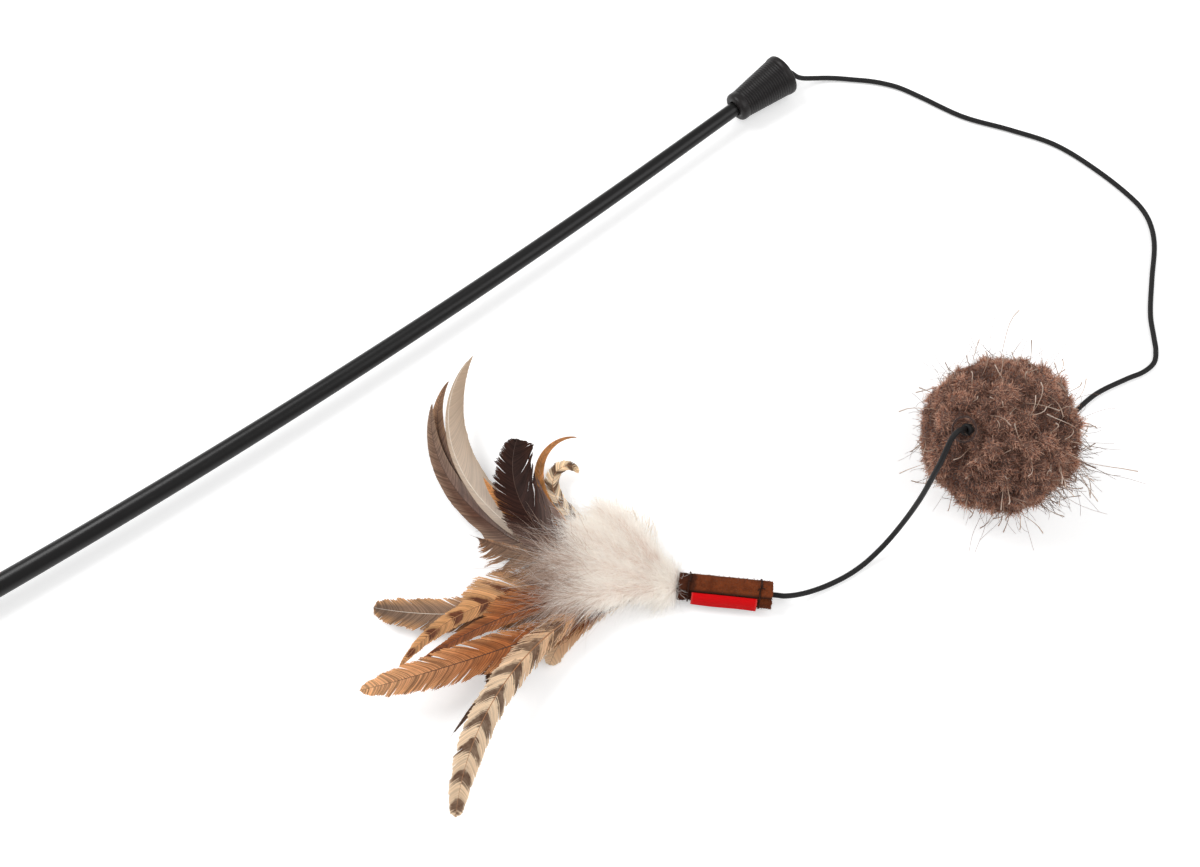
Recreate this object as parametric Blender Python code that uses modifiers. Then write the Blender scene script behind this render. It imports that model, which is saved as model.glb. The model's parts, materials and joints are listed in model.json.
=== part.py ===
"""Feather cat wand: a tapered rod with a ribbed tip cap, and on its cord a plush ball and a bunch
of feathers bound in a rolled felt sleeve. Metres, +Z up. The origin is the centre of the grip's
butt face, the rod runs along +X, and everything lies on a plane below it."""

import math

import bmesh
import bpy
from mathutils import Matrix, Vector
from mathutils.geometry import interpolate_bezier

TOUCH_GAP = 0.0003
RESTING_GAP = 0.0001

# Rod: straight in the grip, then gently bowed, then straight again to the tip
WAND_LENGTH = 0.5015
ROD_BUTT_DIAMETER = 0.0090
ROD_TIP_DIAMETER = 0.0057
ROD_BOW_RADIUS = 2.80
ROD_BOW_START = 0.110
ROD_BOW_END = 0.440
ROD_SIDES = 16

# Grip
GRIP_LENGTH = 0.106
GRIP_WAIST_DIAMETER = 0.0142
GRIP_PALM_DIAMETER = 0.0160
GRIP_FRONT_DIAMETER = 0.0126
GRIP_END_WALL = 0.004
GRIP_RING_COUNT = 7
GRIP_RING_PITCH = 0.006
GRIP_RING_DEPTH = 0.0005

# Tip cap, a truncated cone with fine ribs between a plain collar and a plain rim
CAP_LENGTH = 0.0264
CAP_MOUTH_DIAMETER = 0.0174
CAP_COLLAR_DIAMETER = 0.0120
CAP_COLLAR_LENGTH = 0.0040
CAP_RIM_LENGTH = 0.0030
CAP_RIB_COUNT = 18
CAP_RIB_HEIGHT = 0.00035
CAP_END_WALL = 0.0040
CAP_KNOT_CHAMBER = 0.0074
ROUND_SIDES = 24

# Cord
CORD_DIAMETER = 0.0020
CORD_HOLE_CLEARANCE = 0.00035
CORD_STUB_LENGTH = 0.0010
KNOT_DIAMETER = 0.0046
KNOT_LENGTH = 0.0045
KNOT_TURNS = 3

# Plush ball, threaded on the cord through a tilted bore
BALL_DIAMETER = 0.064
BALL_CENTRE_X = 0.4711
BALL_CENTRE_Y = -0.1514
BALL_BORE_HEADING = 167.0
BALL_BORE_RISE = 50.0
BALL_PILE_LENGTH = 0.008
BALL_LUMP_DEPTH = 0.0016
BALL_DIMPLE_DEPTH = 0.0035
BALL_DIMPLE_SPREAD = 16.0
BALL_HOLE_DIAMETER = 0.0066
GATHER_THREAD_DIAMETER = 0.0007
GATHER_RING_DIAMETER = 0.0090

# Lure: its frame has +X along the quills, away from the cord, and its origin at the sleeve's mouth
LURE_X = 0.3463
LURE_Y = -0.1315
LURE_HEADING = 141.9
SLEEVE_LENGTH = 0.0344
SLEEVE_BORE_DIAMETER = 0.0070
SLEEVE_SIDE_SHIFT = 0.0008
FELT_THICKNESS = 0.0010
FELT_LAP_EDGE = 65.0
FELT_LAP_ANGLE = 80.0
FELT_STEP_ANGLE = 70.0
FELT_TUCK_ANGLE = 70.0
LABEL_LENGTH = 0.0240
LABEL_DROP = 0.0062
LABEL_THICKNESS = 0.0006
LABEL_START = 0.0050
STITCH_THREAD_DIAMETER = 0.0006
STITCH_FROM_CORD_END = 0.0044
STITCH_FROM_MOUTH = 0.0038
BINDING_THREAD_DIAMETER = 0.0005
BINDING_TURNS = 2
BINDING_PITCH = 0.0010
TAIL_LENGTH = 0.0120

# Feathers: quills lie in rows of the bundle, and each row fans out above the one below it
QUILL_WIDTH = 0.0008
QUILL_THICKNESS = 0.0004
QUILL_DEPTH_IN_SLEEVE = 0.0100
QUILL_COLUMN_PITCH = 0.0012
ROW_COUNT = 7
ROW_FAN_LENGTH = 0.035
FEATHER_STATIONS = 14
BARE_QUILL_LENGTH = 0.026
DOWN_WIDTH = 0.0105
DOWN_FIRST_HEADING = -36.0
DOWN_SPREAD = 16.0
DOWN_COLUMN_PITCH = 0.0016
DOWN_THICKNESS = 0.0060

# name, row, column, heading at the binding, turn along the shaft, how late it turns, length, width,
# roundness of the tip
FEATHERS = (
    ("feather_curled_black", 6, -0.5, 1, -104, 1.7, 0.090, 0.0180, 0.4),
    ("feather_long_barred", 6, 0.5, 8, 84, 0.8, 0.124, 0.0120, 0.35),
    ("feather_strip_tan", 5, -1, -11, -46, 3.0, 0.081, 0.0070, 0.8),
    ("feather_wisp_pointed", 5, 0, 2, -17, 1.0, 0.076, 0.0040, 1.0),
    ("feather_long_chestnut", 5, 1, 29, -8, 2.0, 0.118, 0.0150, 0.5),
    ("feather_centre_grey", 4, -0.5, -7, -23, 1.0, 0.069, 0.0080, 0.7),
    ("feather_lobe_chestnut", 4, 0.5, 7, 35, 1.0, 0.097, 0.0070, 0.8),
    ("feather_wisp_orange", 3, -1, -17, -176, 3.0, 0.092, 0.0042, 1.0),
    ("feather_sickle_beige", 3, 0, -6, -119, 2.0, 0.141, 0.0105, 0.8),
    ("feather_spotted_tan", 3, 1, 4, 60, 2.0, 0.108, 0.0085, 0.7),
    ("feather_arch_cream", 2, -1.5, -61, 68, 1.5, 0.043, 0.0060, 0.8),
    ("feather_curl_barred", 2, -0.5, -27, -230, 6.0, 0.075, 0.0080, 0.5),
    ("feather_sickle_umber", 2, 0.5, -4, -87, 2.0, 0.127, 0.0088, 0.8),
    ("feather_small_orange", 2, 1.5, 3, 56, 1.0, 0.059, 0.0080, 0.6),
    ("feather_sickle_brown", 1, -1, -13, -104, 3.0, 0.132, 0.0088, 0.8),
    ("feather_round_grey", 1, 0, 17, -22, 2.5, 0.110, 0.0150, 0.35),
    ("feather_dark_pointed", 1, 1, 20, 42, 1.0, 0.099, 0.0050, 1.0),
    ("feather_sickle_thin", 0, -0.5, 2, -80, 1.5, 0.120, 0.0050, 1.0),
    ("feather_small_pale", 0, 0.5, 16, 64, 1.7, 0.056, 0.0110, 0.4),
)
# How much of the vane lies on the side towards the bend, where it isn't half
INNER_VANE = {"feather_curled_black": 0.6, "feather_sickle_beige": 0.85}
FEATHER_COLOURS = {
    "black": (0.035, 0.020, 0.014),
    "barred": (0.52, 0.40, 0.28),
    "tan": (0.50, 0.27, 0.11),
    "pointed": (0.30, 0.19, 0.11),
    "chestnut": (0.42, 0.17, 0.05),
    "grey": (0.29, 0.20, 0.15),
    "orange": (0.58, 0.28, 0.09),
    "beige": (0.55, 0.42, 0.32),
    "cream": (0.75, 0.64, 0.52),
    "umber": (0.12, 0.06, 0.04),
    "brown": (0.27, 0.15, 0.09),
    "thin": (0.30, 0.19, 0.13),
    "pale": (0.70, 0.50, 0.34),
}
DOWN_PLUMES = (
    ("down_plume_back", 0.036),
    ("down_plume_upper", 0.041),
    ("down_plume_lower", 0.043),
    ("down_plume_front", 0.040),
)

# The cord's route: x, y and height above the plane that the object lies on
CORD_UPPER_ROUTE = (
    (0.5040, 0.0255, 0.0073),
    (0.5054, 0.0240, 0.0058),
    (0.5072, 0.0230, 0.0045),
    (0.5096, 0.0221, 0.0034),
    (0.5133, 0.0206, 0.0024),
    (0.5175, 0.0186, 0.0017),
    (0.5216, 0.0161, 0.0013),
    (0.5266, 0.0124, 0.0011),
    (0.5322, 0.0080, 0.0011),
    (0.5364, 0.0040, 0.0011),
    (0.5406, -0.0010, 0.0011),
    (0.5453, -0.0090, 0.0011),
    (0.5548, -0.0261, 0.0011),
    (0.5675, -0.0413, 0.0011),
    (0.5789, -0.0567, 0.0011),
    (0.5860, -0.0748, 0.0011),
    (0.5904, -0.0938, 0.0011),
    (0.5900, -0.1036, 0.0011),
    (0.5854, -0.1133, 0.0011),
    (0.5747, -0.1253, 0.0011),
    (0.5644, -0.1373, 0.0011),
    (0.5592, -0.1461, 0.0011),
    (0.5565, -0.1506, 0.0011),
    (0.5528, -0.1541, 0.0011),
    (0.5470, -0.1550, 0.0011),
    (0.5400, -0.1539, 0.0011),
    (0.5265, -0.1525, 0.0011),
    (0.5160, -0.1537, 0.0011),
    (0.5080, -0.1556, 0.0011),
    (0.5022, -0.1567, 0.0013),
    (0.4972, -0.1571, 0.0024),
)
CORD_LOWER_ROUTE = (
    (0.4512, -0.1470, 0.0559),
    (0.4498, -0.1470, 0.0565),
    (0.4482, -0.1473, 0.0565),
    (0.4468, -0.1478, 0.0560),
    (0.4458, -0.1483, 0.0550),
    (0.4435, -0.1498, 0.0520),
    (0.4413, -0.1513, 0.0486),
    (0.4390, -0.1526, 0.0443),
    (0.4365, -0.1540, 0.0383),
    (0.4337, -0.1554, 0.0300),
    (0.4303, -0.1566, 0.0212),
    (0.4262, -0.1577, 0.0130),
    (0.4210, -0.1589, 0.0066),
    (0.4155, -0.1599, 0.0031),
    (0.4095, -0.1607, 0.0015),
    (0.4022, -0.1609, 0.0011),
    (0.3946, -0.1602, 0.0012),
    (0.3876, -0.1590, 0.0022),
    (0.3820, -0.1576, 0.0039),
)
CORD_STEP = 2.8
CORD_STEP_TURN = 24.0

FLOOR = -CAP_MOUTH_DIAMETER / 2 * math.cos(math.pi / ROUND_SIDES)


def clear_scene():
    for item in list(bpy.data.objects):
        bpy.data.objects.remove(item)


def new_collection(name):
    collection = bpy.data.collections.new(name)
    bpy.context.scene.collection.children.link(collection)
    return collection


def material(name, colour, roughness, metallic=0.0):
    made = bpy.data.materials.new(name)
    made.use_nodes = True
    shader = made.node_tree.nodes["Principled BSDF"]
    shader.inputs["Base Color"].default_value = (*colour, 1)
    shader.inputs["Roughness"].default_value = roughness
    shader.inputs["Metallic"].default_value = metallic
    return made


def add_object(name, data, finish, place=None, smooth_angle=None):
    made = bpy.data.objects.new(name, data)
    data.materials.append(finish)
    PARTS.objects.link(made)
    if place is not None:
        made.matrix_world = place
    if smooth_angle is not None and isinstance(data, bpy.types.Mesh):
        data.shade_smooth()
        data.set_sharp_from_angle(angle=math.radians(smooth_angle))
    return made


def ring_angle(index, count):
    return 2 * math.pi * index / count


def facing(place, heading, roll=0.0):
    """A placement whose local Z points along the heading, level, rolled about it."""
    return (
        Matrix.Translation(place)
        @ Matrix.Rotation(math.radians(heading), 4, "Z")
        @ Matrix.Rotation(math.pi / 2, 4, "Y")
        @ Matrix.Rotation(roll, 4, "Z")
    )


def turned(name, profile, finish, place, sides=ROUND_SIDES, closed=True):
    """A turned piece: the profile is (radius, along) pairs, down the outer side and up the bore."""
    mesh = bpy.data.meshes.new(name)
    count = len(profile)
    edges = [(i, (i + 1) % count) for i in range(count if closed else count - 1)]
    mesh.from_pydata([(radius, 0, along) for radius, along in profile], edges, [])
    made = add_object(name, mesh, finish, place)
    screw = made.modifiers.new("Turn", "SCREW")
    screw.steps = screw.render_steps = sides
    screw.use_merge_vertices = True
    screw.merge_threshold = 0.00001
    screw.use_smooth_shade = True
    return made


def tube(name, points, diameter, finish, scales=None, resolution=2):
    """A round tube through the points. A scale thins or thickens it at its point."""
    curve = bpy.data.curves.new(name, "CURVE")
    curve.dimensions = "3D"
    curve.bevel_depth = diameter / 2
    curve.bevel_resolution = resolution
    curve.use_fill_caps = True
    spline = curve.splines.new("POLY")
    spline.points.add(len(points) - 1)
    for index, point in enumerate(points):
        spline.points[index].co = (*point, 1)
        spline.points[index].radius = scales[index] if scales else 1.0
    return add_object(name, curve, finish)


def loft(name, rings, finish, place, smooth_angle=50):
    """A closed solid through rings of points, each ring running the same way round."""
    mesh = bpy.data.meshes.new(name)
    shape = bmesh.new()
    loops = [[shape.verts.new(point) for point in ring] for ring in rings]
    for low, high in zip(loops, loops[1:]):
        for i in range(len(low)):
            j = (i + 1) % len(low)
            shape.faces.new((low[i], low[j], high[j], high[i]))
    shape.faces.new(loops[0])
    shape.faces.new(loops[-1])
    bmesh.ops.recalc_face_normals(shape, faces=shape.faces)
    shape.to_mesh(mesh)
    shape.free()
    return add_object(name, mesh, finish, place, smooth_angle)


def cut(target, cutter):
    """Takes the cutter's space out of the target."""
    boolean = target.modifiers.new("Cut " + cutter.name, "BOOLEAN")
    boolean.operation = "DIFFERENCE"
    boolean.solver = "EXACT"
    boolean.object = cutter


def add_cutter(name, shape, place):
    mesh = bpy.data.meshes.new(name)
    shape.to_mesh(mesh)
    shape.free()
    made = bpy.data.objects.new(name, mesh)
    made.matrix_world = place
    made.hide_render = True
    made.display_type = "WIRE"
    CUTTERS.objects.link(made)
    return made


def smooth_step(t):
    t = min(max(t, 0.0), 1.0)
    return t * t * (3 - 2 * t)


# Rod line


def wand_heading(along):
    bowed = min(max(along - ROD_BOW_START, 0), ROD_BOW_END - ROD_BOW_START)
    return math.degrees(bowed / ROD_BOW_RADIUS)


def wand_point(along):
    """The point on the rod's axis at that length from the butt."""
    if along <= ROD_BOW_START:
        return Vector((along, 0, 0))
    turn = math.radians(wand_heading(along))
    x = ROD_BOW_START + ROD_BOW_RADIUS * math.sin(turn)
    y = ROD_BOW_RADIUS * (1 - math.cos(turn))
    straight = max(along - ROD_BOW_END, 0)
    return Vector((x + straight * math.cos(turn), y + straight * math.sin(turn), 0))


def rod_radius(along):
    share = along / ROD_END
    return (ROD_BUTT_DIAMETER + (ROD_TIP_DIAMETER - ROD_BUTT_DIAMETER) * share) / 2


CAP_START = WAND_LENGTH - CAP_LENGTH
CAP_ROD_SEAT = CAP_LENGTH - CAP_END_WALL - CAP_KNOT_CHAMBER
ROD_END = CAP_START + CAP_ROD_SEAT
ROD_START = GRIP_END_WALL + TOUCH_GAP
TIP_HEADING = wand_heading(WAND_LENGTH)
TIP_DIRECTION = Vector((math.cos(math.radians(TIP_HEADING)), math.sin(math.radians(TIP_HEADING)), 0))
FLAT_ROLL = math.pi / ROUND_SIDES


def make_rod(finish):
    stations = 20
    alongs = [ROD_START + (ROD_END - ROD_START) * i / stations for i in range(stations + 1)]
    points = [wand_point(along) for along in alongs]
    scales = [2 * rod_radius(along) / ROD_BUTT_DIAMETER for along in alongs]
    rod = tube("rod", points, ROD_BUTT_DIAMETER, finish, scales, resolution=(ROD_SIDES - 4) // 2)
    rod.data.splines[0].use_smooth = True


def make_grip(finish):
    """Blind rubber grip: a knob at the butt, a waist, a palm swell with rings and a soft front."""
    knob = CAP_MOUTH_DIAMETER / 2
    waist, palm, front = GRIP_WAIST_DIAMETER / 2, GRIP_PALM_DIAMETER / 2, GRIP_FRONT_DIAMETER / 2
    knob_length = 0.009
    rounding = 0.0015
    outer = [
        (front - rounding, GRIP_LENGTH),
        (front - 0.0004, GRIP_LENGTH - 0.0005),
        (front, GRIP_LENGTH - rounding),
        (front, GRIP_LENGTH - 0.010),
    ]
    middle = GRIP_LENGTH * 0.52
    half_run = GRIP_RING_COUNT * GRIP_RING_PITCH / 2
    outer.append((palm, middle + half_run + GRIP_RING_PITCH))
    for ring in range(GRIP_RING_COUNT):
        top = middle + half_run - ring * GRIP_RING_PITCH
        outer.append((palm, top))
        outer.append((palm - GRIP_RING_DEPTH, top - GRIP_RING_PITCH * 0.25))
        outer.append((palm, top - GRIP_RING_PITCH * 0.5))
    outer += [
        (palm, middle - half_run - GRIP_RING_PITCH),
        (waist, knob_length + 0.012),
        (waist, knob_length + 0.004),
        (knob - 0.0006, knob_length),
        (knob, knob_length - rounding),
        (knob, rounding),
        (knob - 0.0005, 0.0005),
        (knob - rounding, 0),
        (0, 0),
    ]
    seat = rod_radius(ROD_START) + TOUCH_GAP
    mouth = rod_radius(GRIP_LENGTH) + TOUCH_GAP
    bore = [(0, GRIP_END_WALL), (seat, GRIP_END_WALL), (mouth, GRIP_LENGTH)]
    turned("grip", outer + bore, finish, facing((0, 0, 0), 0, FLAT_ROLL), closed=False)
    profile = bpy.data.meshes["grip"]
    joined = bmesh.new()
    joined.from_mesh(profile)
    joined.verts.ensure_lookup_table()
    joined.edges.new((joined.verts[-1], joined.verts[0]))
    joined.to_mesh(profile)
    joined.free()


def cap_radius(along):
    """Outer radius of the cap's plain cone at that length from its collar end."""
    share = min(max((along - CAP_COLLAR_LENGTH) / (CAP_LENGTH - CAP_COLLAR_LENGTH), 0), 1)
    return (CAP_COLLAR_DIAMETER + (CAP_MOUTH_DIAMETER - CAP_COLLAR_DIAMETER) * share) / 2


def make_tip_cap(finish):
    """Rubber cap: profile from the mouth's rim down over the ribs to the collar, then up the bore."""
    rim, collar = CAP_MOUTH_DIAMETER / 2, CAP_COLLAR_DIAMETER / 2
    cord_hole = CORD_DIAMETER / 2 + CORD_HOLE_CLEARANCE
    rounding = 0.0008
    profile = [
        (cord_hole, CAP_LENGTH),
        (rim - rounding, CAP_LENGTH),
        (rim - 0.0002, CAP_LENGTH - 0.0003),
        (rim, CAP_LENGTH - rounding),
        (rim, CAP_LENGTH - CAP_RIM_LENGTH + 0.0008),
    ]
    ribbed = CAP_LENGTH - CAP_RIM_LENGTH - CAP_COLLAR_LENGTH
    pitch = ribbed / CAP_RIB_COUNT
    for rib in range(CAP_RIB_COUNT):
        top = CAP_LENGTH - CAP_RIM_LENGTH - rib * pitch
        profile.append((cap_radius(top) - CAP_RIB_HEIGHT, top))
        profile.append((cap_radius(top - pitch / 2), top - pitch / 2))
    profile += [
        (collar - CAP_RIB_HEIGHT, CAP_COLLAR_LENGTH),
        (collar, CAP_COLLAR_LENGTH - 0.0006),
        (collar, 0.0018),
        (collar - 0.0006, 0.0006),
        (collar - 0.0018, 0),
    ]
    mouth = rod_radius(CAP_START) + TOUCH_GAP
    seat = rod_radius(ROD_END) + TOUCH_GAP
    wall = CAP_LENGTH - CAP_END_WALL
    profile += [(mouth, 0), (seat, CAP_ROD_SEAT), (seat, wall), (cord_hole, wall)]
    turned("tip_cap", profile, finish, facing(wand_point(CAP_START), TIP_HEADING, FLAT_ROLL))


def make_knot(name, place, finish):
    """A barrel knot: rounded turns of cord side by side, flat where the cord meets it."""
    turn = KNOT_LENGTH / KNOT_TURNS
    neck = CORD_DIAMETER / 2
    outer, groove = KNOT_DIAMETER / 2, KNOT_DIAMETER / 2 - 0.00035
    profile = [(0, KNOT_LENGTH), (neck, KNOT_LENGTH)]
    for index in range(KNOT_TURNS):
        top = KNOT_LENGTH - index * turn
        shoulder = groove if index else neck + 0.0005
        profile.append((shoulder, top))
        profile.append((outer, top - turn * 0.3))
        profile.append((outer, top - turn * 0.7))
    profile += [(neck + 0.0005, 0), (0, 0)]
    turned(name, profile, finish, place, sides=12, closed=False)


def make_cord_in_cap(cord_finish):
    """The cord in the cap: its knot behind the end wall, and the stretch through the wall."""
    wall_back = WAND_LENGTH - CAP_END_WALL
    knot_end = wall_back - TOUCH_GAP
    knot_start = wand_point(knot_end - KNOT_LENGTH)
    make_knot("anchor_knot", facing(knot_start, TIP_HEADING), cord_finish)
    start = wand_point(knot_end + TOUCH_GAP)
    end = wand_point(WAND_LENGTH + CORD_STUB_LENGTH)
    middle = (start + end) / 2
    tube("cord_in_cap", [start, middle, end], CORD_DIAMETER, cord_finish)


# Ball


BALL_CENTRE = Vector((BALL_CENTRE_X, BALL_CENTRE_Y, FLOOR + BALL_DIAMETER / 2))
BORE_DIRECTION = Vector(
    (
        math.cos(math.radians(BALL_BORE_RISE)) * math.cos(math.radians(BALL_BORE_HEADING)),
        math.cos(math.radians(BALL_BORE_RISE)) * math.sin(math.radians(BALL_BORE_HEADING)),
        math.sin(math.radians(BALL_BORE_RISE)),
    )
)
STUFFING_RADIUS = BALL_DIAMETER / 2 - BALL_PILE_LENGTH - TOUCH_GAP
CORE_HALF_LENGTH = STUFFING_RADIUS + TOUCH_GAP
KNOT_START = CORE_HALF_LENGTH + TOUCH_GAP
CORD_START_IN_HOLE = KNOT_START + KNOT_LENGTH + TOUCH_GAP


def along_bore(distance):
    return BALL_CENTRE + BORE_DIRECTION * distance


def bore_place(distance=0.0, turned_round=False):
    direction = -BORE_DIRECTION if turned_round else BORE_DIRECTION
    turn = direction.to_track_quat("Z", "Y").to_matrix().to_4x4()
    return Matrix.Translation(along_bore(-distance if turned_round else distance)) @ turn


def fur_radius(direction):
    """The lumpy outer surface of the pile, drawn in at the two ends of the bore."""
    polar = math.degrees(math.acos(min(1.0, abs(direction.z))))
    dimple = BALL_DIMPLE_DEPTH * math.exp(-((polar / BALL_DIMPLE_SPREAD) ** 2))
    lumps = (
        math.sin(5 * direction.x + 3 * direction.y)
        * math.sin(4 * direction.y - 6 * direction.z)
        + math.sin(7 * direction.z + 5 * direction.x)
    ) / 2
    return BALL_DIAMETER / 2 - dimple - BALL_LUMP_DEPTH * (1 - lumps) / 2


def ball_cutter(name, radius, length=None):
    shape = bmesh.new()
    if length is None:
        bmesh.ops.create_uvsphere(shape, u_segments=20, v_segments=12, radius=radius)
    else:
        bmesh.ops.create_cone(
            shape, cap_ends=True, segments=12, radius1=radius, radius2=radius, depth=length
        )
    return add_cutter(name, shape, bore_place())


def make_ball(fur_finish, stuffing_finish, thread_finish):
    stuffing = bmesh.new()
    bmesh.ops.create_uvsphere(stuffing, u_segments=20, v_segments=12, radius=STUFFING_RADIUS)
    mesh = bpy.data.meshes.new("ball_stuffing")
    stuffing.to_mesh(mesh)
    stuffing.free()
    core = add_object("ball_stuffing", mesh, stuffing_finish, bore_place(), 60)
    cord_bore = CORD_DIAMETER / 2 + CORD_HOLE_CLEARANCE
    cut(core, ball_cutter("cord_bore_cutter", cord_bore, BALL_DIAMETER))

    pile = bmesh.new()
    bmesh.ops.create_uvsphere(pile, u_segments=28, v_segments=16, radius=1)
    for vert in pile.verts:
        vert.co = vert.co * fur_radius(vert.co.normalized())
    mesh = bpy.data.meshes.new("ball_fur")
    pile.to_mesh(mesh)
    pile.free()
    fur = add_object("ball_fur", mesh, fur_finish, bore_place(), 60)
    cut(fur, ball_cutter("stuffing_cutter", STUFFING_RADIUS + TOUCH_GAP))
    cut(fur, ball_cutter("hole_cutter", BALL_HOLE_DIAMETER / 2, BALL_DIAMETER * 1.2))

    for name, turned_round in (("gather_lower", False), ("gather_upper", True)):
        ring_radius = GATHER_RING_DIAMETER / 2
        sample = Vector((ring_radius, 0, BALL_DIAMETER / 2)).normalized()
        height = max(
            fur_radius(Vector((math.cos(a) * sample.x, math.sin(a) * sample.x, sample.z)))
            for a in (ring_angle(i, ROUND_SIDES) for i in range(ROUND_SIDES))
        )
        seat = height * sample.z + GATHER_THREAD_DIAMETER / 2 + TOUCH_GAP
        count = 20
        place = bore_place(seat, turned_round)
        points = []
        for i in range(count):
            angle = ring_angle(i, count)
            points.append(place @ Vector((ring_radius * math.cos(angle), ring_radius * math.sin(angle), 0)))
        ring = tube(name, points, GATHER_THREAD_DIAMETER, thread_finish, resolution=1)
        ring.data.splines[0].use_cyclic_u = True


def make_line(cord_finish):
    """The cord from the cap through the ball to the sleeve, with its two stop knots."""
    hinge = wand_point(WAND_LENGTH + CORD_STUB_LENGTH + TOUCH_GAP + CORD_DIAMETER / 2)
    upper = [hinge] + [Vector((x, y, FLOOR + height)) for x, y, height in CORD_UPPER_ROUTE]
    upper += [along_bore(-BALL_DIAMETER / 2 - 0.0005), along_bore(-CORD_START_IN_HOLE)]
    free_cord("cord_upper", upper, cord_finish, round_start=True)

    core = [along_bore(-CORE_HALF_LENGTH), BALL_CENTRE, along_bore(CORE_HALF_LENGTH)]
    tube("cord_core", core, CORD_DIAMETER, cord_finish)
    make_knot("knot_upper", bore_place(KNOT_START, turned_round=True), cord_finish)
    make_knot("knot_lower", bore_place(KNOT_START), cord_finish)

    lower = [along_bore(CORD_START_IN_HOLE), along_bore(CORD_START_IN_HOLE + CORD_DIAMETER / 2)]
    lower += [Vector((x, y, FLOOR + height)) for x, y, height in CORD_LOWER_ROUTE]
    lower += [lure_point(LURE_HINGE - 0.0025), lure_point(LURE_HINGE)]
    free_cord("cord_lower", lower, cord_finish, round_end=True)


def smooth_route(route):
    """Points read from one smooth curve through the route's points, closer together in a bend."""
    tangents = []
    for i, point in enumerate(route):
        before, after = route[max(i - 1, 0)], route[min(i + 1, len(route) - 1)]
        tangents.append((after - before).normalized())
    tangents[0] = (route[1] - route[0]).normalized()
    fine = [route[0]]
    for i in range(len(route) - 1):
        handle = (route[i + 1] - route[i]).length / 3
        first, last = route[i] + tangents[i] * handle, route[i + 1] - tangents[i + 1] * handle
        fine += interpolate_bezier(route[i], first, last, route[i + 1], 24)[1:]
    kept = [fine[0]]
    run, turn = 0.0, 0.0
    for i in range(1, len(fine) - 1):
        step, following = fine[i] - fine[i - 1], fine[i + 1] - fine[i]
        run += step.length
        turn += math.degrees(step.angle(following, 0.0))
        if run / (CORD_STEP * CORD_DIAMETER) + turn / CORD_STEP_TURN >= 1:
            kept.append(fine[i])
            run, turn = 0.0, 0.0
    if (kept[-1] - fine[-1]).length < CORD_DIAMETER:
        kept.pop()
    return kept + [fine[-1]], sum((b - a).length for a, b in zip(fine, fine[1:]))


def free_cord(name, route, finish, round_start=False, round_end=False):
    """A free stretch of the cord. An end that turns at a joint is rounded like a ball joint."""
    points, length = smooth_route(route)
    scales = [1.0] * len(points)
    dome = ((0.5, 0.866), (0.9, 0.436))
    if round_start:
        back = (points[0] - points[1]).normalized() * CORD_DIAMETER / 2
        for reach, scale in dome:
            points.insert(0, route[0] + back * reach)
            scales.insert(0, scale)
    if round_end:
        ahead = (points[-1] - points[-2]).normalized() * CORD_DIAMETER / 2
        for reach, scale in dome:
            points.append(route[-1] + ahead * reach)
            scales.append(scale)
    print(f"{name}: {length * 1000:.1f} mm, {len(points)} points")
    return tube(name, points, CORD_DIAMETER, finish, scales)


# Lure


SLEEVE_OUTER_RADIUS = SLEEVE_BORE_DIAMETER / 2 + FELT_THICKNESS
LURE_HEIGHT = FLOOR + SLEEVE_OUTER_RADIUS + TOUCH_GAP + STITCH_THREAD_DIAMETER + RESTING_GAP
LURE_PLACE = Matrix.Translation((LURE_X, LURE_Y, LURE_HEIGHT)) @ Matrix.Rotation(
    math.radians(LURE_HEADING), 4, "Z"
)
LURE_HINGE = -(SLEEVE_LENGTH + CORD_STUB_LENGTH + TOUCH_GAP + CORD_DIAMETER / 2)
LURE_SECTION = LURE_PLACE @ Matrix(((0, 0, 1, 0), (1, 0, 0, 0), (0, 1, 0, 0), (0, 0, 0, 1)))
ROW_PITCH = QUILL_THICKNESS + TOUCH_GAP
LOWEST_ROW = -(ROW_COUNT - 1) / 2 * ROW_PITCH
FELT_SECTION = LURE_SECTION @ Matrix.Translation((SLEEVE_SIDE_SHIFT, 0, 0))
BUNDLE_END = BINDING_TURNS * BINDING_PITCH + BINDING_THREAD_DIAMETER + 2 * TOUCH_GAP


def lure_point(x, y=0.0, z=0.0):
    return LURE_PLACE @ Vector((x, y, z))


def felt_middle(angle):
    """Radius of the rolled strip's middle line: the lap steps out over the strip's tucked edge."""
    inside = SLEEVE_BORE_DIAMETER / 2 + FELT_THICKNESS / 2
    lap = FELT_THICKNESS + TOUCH_GAP
    past_lap = angle - FELT_LAP_EDGE - FELT_LAP_ANGLE
    return inside + lap * (1 - smooth_step(past_lap / FELT_STEP_ANGLE))


def felt_outside(angle):
    """Radius of the sleeve's outer surface at that angle round it, in degrees."""
    turn = (angle - FELT_LAP_EDGE) % 360 + FELT_LAP_EDGE
    return felt_middle(turn) + FELT_THICKNESS / 2


def section_point(radius, angle):
    return Vector((radius * math.cos(math.radians(angle)), radius * math.sin(math.radians(angle)), 0))


def extruded(name, outline, length, start, finish):
    """A flat outline in the lure's cross-section, drawn out along the lure from start."""
    curve = bpy.data.curves.new(name, "CURVE")
    curve.dimensions = "2D"
    curve.fill_mode = "BOTH"
    curve.extrude = length / 2
    spline = curve.splines.new("POLY")
    spline.points.add(len(outline) - 1)
    for index, point in enumerate(outline):
        spline.points[index].co = (point.x, point.y, 0, 1)
    spline.use_cyclic_u = True
    shift = Matrix.Translation((0, 0, start + length / 2))
    return add_object(name, curve, finish, FELT_SECTION @ shift)


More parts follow.
